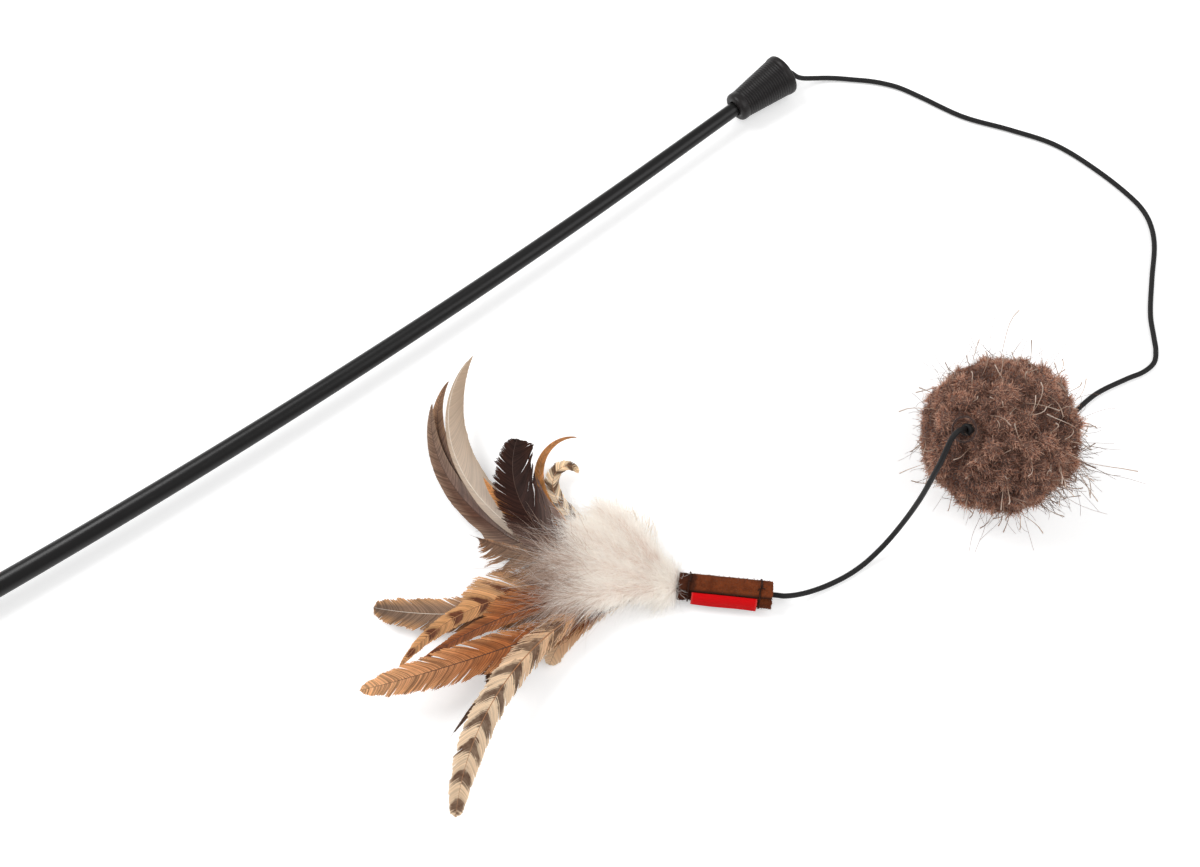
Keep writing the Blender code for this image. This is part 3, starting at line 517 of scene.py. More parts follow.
def build_moulding():
    """Shared effect: the faint flow, pits and handling marks of a moulded surface."""
    tree, given, result = new_group(
        "moulding",
        "ShaderNodeTree",
        {"Float": ("Scale", "Roughness", "Spread")},
        {"Float": ("Height", "Roughness", "Marks")},
    )
    place = object_place(tree)
    cloud = clouds(place, given["Scale"], 5.0, 0.6)
    fine = clouds(place, times(given["Scale"], 12.0), 2.0)
    stretched = take(tree, "ShaderNodeMapping", {0: place, 3: (0.15, 1.0, 1.0)})
    scuffs = clouds(stretched, 900.0, 4.0, 0.7)
    marks = ramp(scuffs, 0.60, 0.74, 0.0, 1.0)
    uneven = minus(cloud, 0.5)
    rough = times_plus(uneven, given["Spread"], given["Roughness"])
    rough = times_plus(marks, 0.06, rough)
    tree.links.new(times_plus(fine, 0.7, scuffs), result["Height"])
    tree.links.new(rough, result["Roughness"])
    tree.links.new(marks, result["Marks"])
    return tree


moulding = build_moulding()


def moulded_finish(name, colour, marked, scale, roughness, spread, depth):
    """Black plastic or rubber with its flow, pits and handling marks."""
    made, tree, surface = new_finish(name)
    skin = add_group(tree, moulding, scale=scale, roughness=roughness, spread=spread)
    tone = blend_colours(skin["Marks"], colour, marked)
    lay_surface(tree, surface, tone, skin["Roughness"], (0.5, depth, skin["Height"]), gloss=0.3)
    return made


rod_finish = moulded_finish(
    "satin_black_plastic", dye(15, 14, 14), dye(28, 26, 26), 60.0, 0.34, 0.16, 0.00002
)
rod_steps = 130
rod_run = ROD_END - ROD_START
rod_line = [wand_point(ROD_START + rod_run * i / rod_steps) for i in range(rod_steps + 1)]
rod_mesh = tube_mesh("tapered_rod", rod_line, lambda run: rod_radius(ROD_START + run), ROD_SIDES)
rod = add_piece("tapered_rod", rod_mesh, rod_finish)
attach(rod, "wand")
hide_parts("rod")

# Grip
# A blind sleeve of black rubber moulded over the rod's butt: a knob at the end, a waist, a palm
# swell with seven shallow rings, and a soft front edge.
GRIP_LENGTH = 0.106
GRIP_KNOB_LENGTH = 0.009
GRIP_WAIST_DIAMETER = 0.0142
GRIP_PALM_DIAMETER = 0.0160
GRIP_FRONT_DIAMETER = 0.0126
GRIP_END_WALL = 0.004
GRIP_RING_COUNT = 7
GRIP_RING_PITCH = 0.006
GRIP_RING_DEPTH = 0.0005
GRIP_STEP = 0.0004
GRIP_STEPS = 257
GRIP_SIDES = 64
ROD_FIT = 0.00005
CAP_MOUTH_DIAMETER = 0.0174


def ease(t):
    t = min(max(t, 0.0), 1.0)
    return t * t * (3 - 2 * t)


def turned_mesh(name, profile, place, sides):
    """Turns (radius, along) pairs round the local Z of a placement, and closes the mesh."""
    shape = bmesh.new()
    verts = [shape.verts.new((radius, 0, along)) for radius, along in profile]
    edges = [shape.edges.new(pair) for pair in zip(verts, verts[1:])]
    bmesh.ops.spin(
        shape,
        geom=verts + edges,
        cent=(0, 0, 0),
        axis=(0, 0, 1),
        angle=2 * math.pi,
        steps=sides,
        use_merge=True,
    )
    bmesh.ops.remove_doubles(shape, verts=shape.verts, dist=0.00001)
    bmesh.ops.recalc_face_normals(shape, faces=shape.faces)
    shape.transform(place)
    return mesh_from(name, shape)


def grip_radius(along):
    """Outer radius of the grip at that length from its butt face, between its rounded ends."""
    knob, waist = CAP_MOUTH_DIAMETER / 2, GRIP_WAIST_DIAMETER / 2
    palm, front = GRIP_PALM_DIAMETER / 2, GRIP_FRONT_DIAMETER / 2
    middle = GRIP_LENGTH * 0.52
    half_run = GRIP_RING_COUNT * GRIP_RING_PITCH / 2
    radius = knob + (waist - knob) * ease((along - GRIP_KNOB_LENGTH) / 0.004)
    swell_start, swell_end = GRIP_KNOB_LENGTH + 0.012, middle - half_run - GRIP_RING_PITCH
    radius += (palm - waist) * ease((along - swell_start) / (swell_end - swell_start))
    fall_start, fall_end = middle + half_run + GRIP_RING_PITCH, GRIP_LENGTH - 0.010
    radius += (front - palm) * ease((along - fall_start) / (fall_end - fall_start))
    ring = (along - (middle - half_run)) / GRIP_RING_PITCH
    if 0 < ring < GRIP_RING_COUNT:
        groove = max(0.0, 1 - abs(ring % 1.0 - 0.75) / 0.22)
        radius -= GRIP_RING_DEPTH * ease(groove)
    return radius


rounding = 0.0015
knob, front = CAP_MOUTH_DIAMETER / 2, GRIP_FRONT_DIAMETER / 2
quarter = [math.pi / 2 * i / 8 for i in range(9)]
grip_profile = [(0.0, 0.0)]
for angle in quarter:
    short, back = rounding * (1 - math.sin(angle)), rounding * (1 - math.cos(angle))
    grip_profile.append((knob - short, back))
for i in range(1, GRIP_STEPS):
    z = rounding + GRIP_STEP * i
    grip_profile.append((grip_radius(z), z))
for angle in quarter:
    short, back = rounding * (1 - math.sin(angle)), rounding * (1 - math.cos(angle))
    grip_profile.append((front - back, GRIP_LENGTH - short))
grip_profile.append((rod_radius(GRIP_LENGTH) + ROD_FIT, GRIP_LENGTH - 0.0003))
grip_profile.append((rod_radius(GRIP_END_WALL) + TOUCH_GAP, GRIP_END_WALL))
grip_profile.append((0.0, GRIP_END_WALL))
along_x = Matrix.Rotation(math.pi / 2, 4, "Y")
grip_finish = moulded_finish(
    "black_rubber", dye(27, 26, 27), dye(44, 42, 42), 220.0, 0.58, 0.12, 0.00004
)
grip_mesh = turned_mesh("rubber_grip", grip_profile, along_x, GRIP_SIDES)
grip = add_piece("rubber_grip", grip_mesh, grip_finish)
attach(grip, "wand")
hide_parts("grip")

# Tip cap
# A black rubber cap, a truncated cone with eighteen fine ribs between a plain collar and a plain
# rim. It is pushed over the rod's end, and the cord leaves through the hole in its wide face. Its
# ribs carry painted light: lighter crests and near-black grooves.
CAP_COLLAR_DIAMETER = 0.0120
CAP_COLLAR_LENGTH = 0.0040
CAP_RIM_LENGTH = 0.0030
CAP_RIB_COUNT = 18
CAP_RIB_HEIGHT = 0.00035
CAP_END_WALL = 0.0040
CAP_SIDES = 96
CAP_START = WAND_LENGTH - CAP_LENGTH
CORD_HOLE_RADIUS = CORD_DIAMETER / 2 + 0.00015


def cap_radius(along):
    """Outer radius of the cap's plain cone at that length from its collar end."""
    share = min(max((along - CAP_COLLAR_LENGTH) / (CAP_LENGTH - CAP_COLLAR_LENGTH), 0), 1)
    return (CAP_COLLAR_DIAMETER + (CAP_MOUTH_DIAMETER - CAP_COLLAR_DIAMETER) * share) / 2


def rounded_corner(radius, along, size, turn):
    """Five points of a quarter round inside a corner: turn 0 at the collar's end, 1 at the rim's."""
    points = []
    for i in range(5):
        angle = math.pi / 2 * (i / 4 + turn)
        points.append((radius - size + size * math.sin(angle), along - size * math.cos(angle)))
    return points


cap_profile = [(rod_radius(CAP_START) + ROD_FIT, 0.0006)]
cap_profile.append((rod_radius(CAP_START) + 0.0004, 0.0))
cap_profile += rounded_corner(CAP_COLLAR_DIAMETER / 2, 0.0016, 0.0016, 0)
cap_profile.append((CAP_COLLAR_DIAMETER / 2, CAP_COLLAR_LENGTH - 0.0005))
ribbed = CAP_LENGTH - CAP_RIM_LENGTH - CAP_COLLAR_LENGTH
for i in range(CAP_RIB_COUNT * 6 + 1):
    z = CAP_COLLAR_LENGTH + ribbed * i / (CAP_RIB_COUNT * 6)
    crest = math.sqrt(abs(math.sin(math.pi * i / 6)))
    cap_profile.append((cap_radius(z) - CAP_RIB_HEIGHT * (1 - crest), z))
cap_profile.append((CAP_MOUTH_DIAMETER / 2 - 0.0001, CAP_LENGTH - CAP_RIM_LENGTH + 0.0006))
cap_profile += rounded_corner(CAP_MOUTH_DIAMETER / 2, CAP_LENGTH - 0.0008, 0.0008, 1)
cap_profile.append((CORD_HOLE_RADIUS + 0.0005, CAP_LENGTH))
cap_profile.append((CORD_HOLE_RADIUS, CAP_LENGTH - 0.0005))
cap_profile.append((CORD_HOLE_RADIUS, CAP_LENGTH - CAP_END_WALL))
cap_profile.append((rod_radius(ROD_END) + TOUCH_GAP, CAP_LENGTH - CAP_END_WALL))
cap_profile.append((rod_radius(ROD_END) + TOUCH_GAP, CAP_ROD_SEAT))
cap_profile.append(cap_profile[0])
cap_heading = (ROD_BOW_END - ROD_BOW_START) / ROD_BOW_RADIUS
cap_start = wand_point(CAP_START)
cap_place = Matrix.Translation(cap_start) @ Matrix.Rotation(cap_heading, 4, "Z") @ along_x
cap_finish, tree, surface = new_finish("ribbed_rubber")
place = object_place(tree)
cap_course = (math.cos(cap_heading), math.sin(cap_heading), 0.0)
reach = take(tree, "ShaderNodeVectorMath", {0: place, 1: tuple(cap_start)}, operation="SUBTRACT")
measure = put(tree, "ShaderNodeVectorMath", {0: reach, 1: cap_course}, operation="DOT_PRODUCT")
along = measure.outputs["Value"]
past_collar = minus(along, CAP_COLLAR_LENGTH)
phase = times(past_collar, math.pi * CAP_RIB_COUNT / ribbed)
crest = calc("POWER", calc("ABSOLUTE", calc("SINE", phase)), 0.8)
before = calc("LESS_THAN", along, CAP_COLLAR_LENGTH)
after = calc("GREATER_THAN", along, CAP_COLLAR_LENGTH + ribbed)
crest = calc("MAXIMUM", crest, calc("MAXIMUM", before, after))
grain = clouds(place, 1500.0, 3.0)
# Painted light: the ribs' crests are painted lighter and their grooves near black, as lit crests and
# shaded grooves; the plain collar and rim count as crests, and fine grain mottles the whole.
rib_shaded_tone = blend_colours(times(crest, grain), dye(2, 2, 2), dye(44, 40, 40))
lay_surface(tree, surface, rib_shaded_tone, 0.4, (0.4, 0.00006, grain), gloss=0.25)
cap_mesh = turned_mesh("ribbed_tip_cap", cap_profile, cap_place, CAP_SIDES)
cap = add_piece("ribbed_tip_cap", cap_mesh, cap_finish)
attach(cap, "wand")
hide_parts("tip_cap")

# Ball
# A ball of taupe plush yarn over a stuffed core, drawn together round the two mouths of its
# bore. Soft woolly tufts cover it, and long lash fibres with pale tips stand out of them. Painted
# shade darkens the crevices between the tufts and the mouths.
BALL_LUMP_DEPTH = 0.0016
BALL_DIMPLE_DEPTH = 0.0035
BALL_DIMPLE_SPREAD = 16.0
TUFT_SIZE = 0.0092
TUFT_HEIGHT = 0.0046
PILE_DEPTH = 0.0014
LEAST_BACKING_RADIUS = 0.0243
TUFT_SEED = 7
MOUTH_DEPTH = 0.0014
HAIR_FLOOR = FLOOR_Z + 0.0003
HOLE_SPREAD = 10.0
# A bunch of the long fibres is brushed this way, and this is how wide the bunch spreads
BRUSHED_TOWARDS = Vector((0.488, -0.856, -0.17))
BUNCH_WIDTH = 0.30

ball_turn = BORE_DIRECTION.to_track_quat("Z", "Y").to_matrix()


def from_bore(direction):
    """Degrees between a direction of the bore's frame and the nearer mouth."""
    return math.degrees(math.acos(min(1.0, abs(direction.z))))


def fur_radius(direction):
    """The plush's outer radius in a direction of the bore's frame, drawn in at the bore's mouths."""
    polar = from_bore(direction)
    dimple = BALL_DIMPLE_DEPTH * math.exp(-((polar / BALL_DIMPLE_SPREAD) ** 2))
    lumps = (
        math.sin(5 * direction.x + 3 * direction.y)
        * math.sin(4 * direction.y - 6 * direction.z)
        + math.sin(7 * direction.z + 5 * direction.x)
    ) / 2
    return BALL_DIAMETER / 2 - dimple - BALL_LUMP_DEPTH * (1 - lumps) / 2


def tuft_height(point):
    """0 in a crevice between tufts and 1 at the top of a tuft, from cells of uneven size."""
    height = 0.0
    for size, share in ((TUFT_SIZE, 0.65), (TUFT_SIZE * 0.45, 0.35)):
        warped = point + noise.noise_vector(point / size * 0.8) * size * 0.6
        near, far = noise.voronoi(warped / size)[0][:2]
        height += share * min(1.0, (far - near) * 1.6)
    return height


noise.seed_set(TUFT_SEED)
plush_shape = bmesh.new()
bmesh.ops.create_icosphere(plush_shape, subdivisions=6, radius=1.0)
puff = plush_shape.verts.layers.float.new("puff")
comb = plush_shape.verts.layers.float_vector.new("comb")
bunch = plush_shape.verts.layers.float.new("bunch")
for vert in plush_shape.verts:
    direction = vert.co.normalized()
    mouth = math.exp(-((from_bore(direction) / HOLE_SPREAD) ** 2))
    outer = fur_radius(direction)
    tuft = tuft_height(direction * outer)
    small = noise.noise(direction * 38.0) * 0.0005 + noise.noise(direction * 2.4) * 0.0014
    uneven = small - TUFT_HEIGHT * (1 - tuft)
    radius = outer - PILE_DEPTH + uneven * (1 - mouth) - mouth * MOUTH_DEPTH
    radius = max(radius, LEAST_BACKING_RADIUS)
    pole = Vector((0, 0, 1 if direction.z > 0 else -1))
    away = direction - pole * direction.dot(pole)
    away = (away - direction * away.dot(direction)) * (1 if abs(direction.z) > 0.05 else 0.3)
    # 'puff' is the tuft's height, lowered at the mouths: it sets the fibres' length and paints shade
    # into the crevices and the mouths.
    vert[puff] = tuft * (1 - 0.6 * mouth)
    vert.co = BALL_CENTRE + ball_turn @ (direction * radius)
    swirl = ball_turn @ (away.normalized() * 0.4 + noise.noise_vector(direction * 4.0) * 1.1)
    outward = ball_turn @ direction
    gathered = ease((outward.dot(BRUSHED_TOWARDS) - 1 + BUNCH_WIDTH) / BUNCH_WIDTH * 1.6)
    vert[comb] = swirl.lerp(BRUSHED_TOWARDS * 1.6, gathered)
    vert[bunch] = gathered
plush_mesh = mesh_from("plush_backing", plush_shape)


def mesh_value(tree, name):
    """What a mesh carries under that name, in a material."""
    return put(tree, "ShaderNodeAttribute", attribute_name=name).outputs["Fac"]


def new_growth(name, numbers, counts=("Seed",), materials=("Material",)):
    """An empty Geometry Nodes tree with its named inputs: returns it, its inputs and its output."""
    inputs = {"Geometry": ("Geometry",), "Float": numbers, "Int": counts, "Material": materials}
    tree, given, result = new_group(name, "GeometryNodeTree", inputs, {"Geometry": ("Geometry",)})
    return tree, given, result[0]


def moved(geometry, offset):
    return take(tree_of(geometry), "GeometryNodeSetPosition", {0: geometry, 3: offset})


def centred(place, scale, detail):
    """A noise texture's colour as a vector that goes both ways."""
    noisy = put(tree_of(place), "ShaderNodeTexNoise", {0: place, 2: scale, 3: detail}).outputs[1]
    return vectors("SUBTRACT", noisy, (0.5, 0.5, 0.5))


def ribbon(width):
    """A flat section of that width."""
    tree, half = tree_of(width), times(width, 0.5)
    near = take(tree, "ShaderNodeCombineXYZ", {0: half})
    far = take(tree, "ShaderNodeCombineXYZ", {0: times(half, -1.0)})
    return take(tree, "GeometryNodeCurvePrimitiveLine", {0: near, 1: far})


def vectors(operation, *values):
    """A Vector Math node's result."""
    tree = tree_of(*values)
    return take(tree, "ShaderNodeVectorMath", dict(enumerate(values)), operation=operation)


def scaled(vector, factor):
    return take(tree_of(vector), "ShaderNodeVectorMath", {0: vector, 3: factor}, operation="SCALE")


def stored(geometry, name, value, kind="FLOAT"):
    """Keeps a value on the points, for the material to read."""
    values = {0: geometry, 2: name, 3: value}
    return take(tree_of(geometry), "GeometryNodeStoreNamedAttribute", values, data_type=kind)


def recalled(tree, name, kind="FLOAT"):
    return take(tree, "GeometryNodeInputNamedAttribute", {0: name}, data_type=kind)


def recalled_vector(tree, name):
    return recalled(tree, name, "FLOAT_VECTOR")


def random_number(tree, seed, low=0.0, high=1.0):
    return put(tree, "FunctionNodeRandomValue", {2: low, 3: high, 8: seed}).outputs[1]


def random_vector(tree, seed):
    return take(
        tree,
        "FunctionNodeRandomValue",
        {0: (-1.0, -1.0, -1.0), 1: (1.0, 1.0, 1.0), 8: seed},
        data_type="FLOAT_VECTOR",
    )


def kept_above(geometry, floor):
    """Moves points that lie under the floor height up to it."""
    tree = tree_of(geometry)
    place = take(tree, "GeometryNodeInputPosition")
    parts = put(tree, "ShaderNodeSeparateXYZ", {0: place}).outputs
    lifted = calc("MAXIMUM", parts[2], floor)
    raised = take(tree, "ShaderNodeCombineXYZ", {0: parts[0], 1: parts[1], 2: lifted})
    return take(tree, "GeometryNodeSetPosition", {0: geometry, 2: raised})


def build_strands(name, points_each, flat):
    """Strands that stand on a surface: combed, clumped, curled, waved in locks and tapered."""
    tree, given, result = new_growth(
        name,
        (
            "Density", "Bunching", "Length", "Length Spread", "Stand", "Comb", "Scatter", "Clump",
            "Clump Size", "Curl", "Sweep", "Wave", "Wave Size", "Hook", "Width", "Tip", "Floor",
        ),
    )
    crowding = times_plus(recalled(tree, "bunch"), given["Bunching"], 1.0)
    planted = put(
        tree,
        "GeometryNodeDistributePointsOnFaces",
        {0: given["Geometry"], 4: times(given["Density"], crowding), 6: given["Seed"]},
    ).outputs
    place = take(tree, "GeometryNodeInputPosition")
    clumps = centred(place, calc("DIVIDE", 1.0, given["Clump Size"]), 1.0)
    clumped = scaled(clumps, given["Clump"])
    combed = scaled(recalled_vector(tree, "comb"), given["Comb"])
    loose = scaled(random_vector(tree, 11), given["Scatter"])
    course = vectors("ADD", scaled(planted[1], given["Stand"]), combed)
    course = vectors("ADD", vectors("ADD", course, clumped), loose)
    course = vectors("NORMALIZE", course)
    points = stored(planted[0], "tone", random_number(tree, 12))
    points = stored(points, "sway", random_vector(tree, 13), "FLOAT_VECTOR")
    points = stored(points, "crook", random_vector(tree, 15), "FLOAT_VECTOR")
    shorter = times(random_number(tree, 14), given["Length Spread"])
    length = times(given["Length"], minus(1.0, shorter))
    fullness = times_plus(recalled(tree, "puff"), 0.65, 0.35)
    length = times(length, fullness)
    points = stored(points, "reach", length)
    unit = take(tree, "GeometryNodeCurvePrimitiveLine", {0: (0, 0, 0), 1: (0, 0, 1)})
    unit = take(tree, "GeometryNodeResampleCurve", {0: unit, 2: points_each})
    turn = take(tree, "FunctionNodeAlignRotationToVector", {2: course}, axis="Z")
    strands = take(tree, "GeometryNodeInstanceOnPoints", {0: points, 2: unit, 5: turn, 6: length})
    strands = take(tree, "GeometryNodeRealizeInstances", {0: strands})
    along = take(tree, "GeometryNodeSplineParameter")
    strands = stored(strands, "along", along)
    bend = scaled(recalled_vector(tree, "sway"), given["Curl"])
    sweep_over = scaled(recalled_vector(tree, "comb"), given["Sweep"])
    bend = scaled(vectors("ADD", bend, sweep_over), recalled(tree, "reach"))
    bend = scaled(bend, calc("POWER", along, 2.0))
    hook = scaled(recalled_vector(tree, "crook"), given["Hook"])
    bend = vectors("ADD", bend, scaled(hook, calc("POWER", along, 7.0)))
    strands = moved(strands, bend)
    locks = centred(place, calc("DIVIDE", 1.0, given["Wave Size"]), 2.0)
    waved = scaled(scaled(locks, given["Wave"]), along)
    strands = moved(strands, waved)
    strands = kept_above(strands, given["Floor"])
    tilt = times(recalled(tree, "tone"), 2 * math.pi)
    strands = take(tree, "GeometryNodeSetCurveTilt", {0: strands, 2: tilt})
    narrowing = minus(given["Tip"], 1.0)
    taper = times_plus(calc("POWER", along, 3.0), narrowing, 1.0)
    if flat:
        section = ribbon(given["Width"])
    else:
        half = times(given["Width"], 0.5)
        section = take(tree, "GeometryNodeCurvePrimitiveCircle", {0: 3, 4: half})
    made = take(tree, "GeometryNodeCurveToMesh", {0: strands, 1: section, 2: taper, 3: not flat})
    made = take(tree, "GeometryNodeSetShadeSmooth", {0: made})
    made = take(tree, "GeometryNodeSetMaterial", {0: made, 2: given["Material"]})
    tree.links.new(take(tree, "GeometryNodeRealizeInstances", {0: made}), result)
    return tree


pile_strands = build_strands("pile_strands", 5, flat=True)
lash_strands = build_strands("lash_strands", 9, flat=False)


def grow(name, base, tree, **sizes):
    """Runs a Geometry Nodes tree on a mesh with these inputs, the rest at 0, and keeps the mesh."""
    piece = add_piece(name, base)
    growth = piece.modifiers.new("growth", "NODES")
    growth.node_group = tree
    wanted = {key.replace("_", " ").title(): value for key, value in sizes.items()}
    wanted.setdefault("Floor", HAIR_FLOOR)
    for item in tree.interface.items_tree:
        if item.item_type == "SOCKET" and item.in_out == "INPUT" and item.name in wanted:
            growth[item.identifier] = wanted[item.name]
    graph = bpy.context.evaluated_depsgraph_get()
    grown = bpy.data.meshes.new_from_object(
        piece.evaluated_get(graph), preserve_all_data_layers=True, depsgraph=graph
    )
    piece.modifiers.clear()
    piece.data = grown
    grown.name = name
    return piece


def thin_surface(tree, colour, roughness, gloss, sheen, through):
    """Thin fibre: its surface, with that share of the light let through it."""
    values = {"Base Color": colour, "Roughness": roughness}
    values.update({"Specular IOR Level": gloss, "Sheen Weight": sheen})
    skin = take(tree, "ShaderNodeBsdfPrincipled", values)
    glow = take(tree, "ShaderNodeBsdfTranslucent", {0: colour})
    return take(tree, "ShaderNodeMixShader", {0: through, 1: skin, 2: glow})


def strand_finish(name, root, middle, tip, dark, roughness, sheen, through=0.0, airy=0.0):
    """Fibres that go from root to tip colour, each a little lighter or darker than the next.

    They shade one another less by the airy share, as fluff finer than the strands does.
    """
    made, tree, surface = new_finish(name)
    along = mesh_value(tree, "along")
    tone = mesh_value(tree, "tone")
    raised = mesh_value(tree, "puff")
    low = ramp(along, 0.0, 0.45)
    high = ramp(along, 0.5, 1.0)
    colour = blend_colours(low, root, middle)
    colour = blend_colours(high, colour, tip)
    place = object_place(tree)
    patches = clouds(place, 140.0, 3.0)
    mixed = times_plus(tone, 0.5, times(patches, 0.9))
    shade = ramp(mixed, 0.45, 0.95, 0.0, dark)
    # Painted shade: where the mesh's 'puff' is low the fibres turn to their root colour, in the ball's
    # crevices and mouths and along the felt's lap edges; the felt's mouth end is darkened the same
    # way.
    deep = ramp(raised, 0.70, 0.05, 0.0, 0.9)
    colour = blend_colours(calc("MAXIMUM", shade, deep), colour, root)
    fibre = thin_surface(tree, colour, roughness, 0.12, sheen, through)
    if airy:
        to_lamp = put(tree, "ShaderNodeLightPath").outputs["Is Shadow Ray"]
        clear = take(tree, "ShaderNodeBsdfTransparent")
        open_fluff = take(tree, "ShaderNodeMixShader", {0: airy, 1: fibre, 2: clear})
        fibre = take(tree, "ShaderNodeMixShader", {0: to_lamp, 1: fibre, 2: open_fluff})
    tree.links.new(fibre, surface)
    return made


backing_finish, tree, surface = new_finish("plush_backing")
raised = mesh_value(tree, "puff")
place = object_place(tree)
knit = clouds(place, 900.0, 4.0, 0.7)
# Painted shade: the backing is painted dark in the crevices between tufts and at the mouths, and
# lighter on the tufts' tops.
tuft_shaded_tone = blend_colours(raised, dye(56, 30, 21), dye(128, 98, 84))
lay_surface(tree, surface, tuft_shaded_tone, 0.95, (1.0, 0.0006, knit), sheen=0.3)
backing = add_piece("plush_backing", plush_mesh, backing_finish)

wool_finish = strand_finish(
    "taupe_wool", dye(80, 35, 20), dye(222, 164, 136), dye(252, 213, 190), 0.6, 0.9, 0.0, 0.2, 0.4
)
lash_finish = strand_finish(
    "taupe_lash", dye(78, 48, 36), dye(124, 90, 72), dye(150, 118, 98), 0.4, 0.5, 0.1, 0.1
)
curl_finish = strand_finish(
    "pale_lash", dye(150, 120, 102), dye(206, 180, 160), dye(236, 216, 200), 0.1, 0.45, 0.1, 0.1
)
fleeces = [
    grow(
        name, plush_mesh.copy(), pile_strands,
        density=1.6e6, seed=seed, length=length, length_spread=0.55, stand=1.0, comb=0.25,
        scatter=0.7, clump=1.3, clump_size=0.0035, curl=0.7, sweep=0.15, wave=0.0022,
        wave_size=0.0018, width=0.00017, tip=0.5,
        material=wool_finish,
    )
    for name, seed, length in (
        ("plush_wool", 3, 0.0024), ("plush_wool_top", 4, 0.0028), ("plush_wool_crown", 6, 0.0033),
    )
]
lashes = grow(
    "plush_lashes", plush_mesh.copy(), lash_strands,
    density=4.6e4, bunching=1.6, seed=5, length=0.0152, length_spread=0.6, stand=0.5, comb=0.8,
    scatter=0.6, clump=1.8, clump_size=0.012, curl=0.7, sweep=0.3, wave=0.002, wave_size=0.010,
    hook=0.0020, width=0.00015, tip=0.9, material=lash_finish,
)
curls = grow(
    "plush_curls", plush_mesh.copy(), lash_strands,
    density=1.7e4, bunching=0.6, seed=9, length=0.0138, length_spread=0.5, stand=0.42, comb=0.8,
    scatter=0.9, clump=1.2, clump_size=0.010, curl=0.9, sweep=0.3, wave=0.001, wave_size=0.010,
    hook=0.0026, width=0.00024, tip=2.2, material=curl_finish,
)
for piece in (backing, *fleeces, lashes, curls):
    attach(piece, "ball")
    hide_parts("ball_fur")

stuffing_finish, tree, surface = new_finish("white_stuffing")
place = object_place(tree)
wads = clouds(place, 300.0, 6.0, 0.65)
stuffing_tone = blend_colours(wads, dye(214, 211, 205), dye(244, 243, 240))
lay_surface(tree, surface, stuffing_tone, 0.95, (1.0, 0.001, wads))
coat(stuffing_finish, "ball_stuffing")
# The gather rings carry no 'puff', so they take the backing's darkest colour, the painted shade of the
# crevices.
coat(backing_finish, "gather_upper", "gather_lower")

# Felt sleeve
# A strip of brown felt rolled once round the quills and lapped over itself, glued along the lap.
# The felt is soft and a little crushed, with a fuzzy surface and rough cut ends. Shade under the
# lap's edges is painted into it, and it is darker towards the mouth.
LURE_PLACE_X = 0.3463
LURE_PLACE_Y = -0.1315
SLEEVE_LENGTH = 0.0344
SLEEVE_BORE_DIAMETER = 0.0070
SLEEVE_SIDE_SHIFT = 0.0008
STITCH_THREAD_DIAMETER = 0.0006
RESTING_GAP = 0.0001
FELT_THICKNESS = 0.0010
FELT_LAP_EDGE = 65.0
FELT_LAP_ANGLE = 80.0
FELT_STEP_ANGLE = 70.0
FELT_TUCK_ANGLE = 70.0
FELT_SQUEEZE = 0.00035
DARKENED_MOUTH_LENGTH = 0.0056
STITCH_FROM_CORD_END = 0.0044
STITCH_FROM_MOUTH = 0.0038

sleeve_radius = SLEEVE_BORE_DIAMETER / 2 + FELT_THICKNESS
LURE_HEIGHT = FLOOR_Z + sleeve_radius + TOUCH_GAP + STITCH_THREAD_DIAMETER + RESTING_GAP
LURE_PLACE = Matrix.Translation((LURE_PLACE_X, LURE_PLACE_Y, LURE_HEIGHT)) @ Matrix.Rotation(
    math.radians(LURE_HEADING), 4, "Z"
)


def lure_point(x, y=0.0, z=0.0):
    """A point of the lure's frame: x along the quills from the sleeve's mouth, z up."""
    return LURE_PLACE @ Vector((x, y, z))


def felt_middle(angle):
    """Radius of the rolled strip's middle line: the lap steps out over the tucked edge."""
    inside = SLEEVE_BORE_DIAMETER / 2 + FELT_THICKNESS / 2
    lap = FELT_THICKNESS + TOUCH_GAP
    past_lap = angle - FELT_LAP_EDGE - FELT_LAP_ANGLE
    return inside + lap * (1 - ease(past_lap / FELT_STEP_ANGLE))


def felt_outside(angle):
    """Radius of the sleeve's outer surface at that angle round it, in degrees."""
    turn = (angle - FELT_LAP_EDGE) % 360 + FELT_LAP_EDGE
    return felt_middle(turn) + FELT_THICKNESS / 2


def section(x, radius, angle):
    """A point of the sleeve's cross-section at x along it."""
    turn = math.radians(angle)
    return lure_point(x, radius * math.cos(turn) + SLEEVE_SIDE_SHIFT, radius * math.sin(turn))


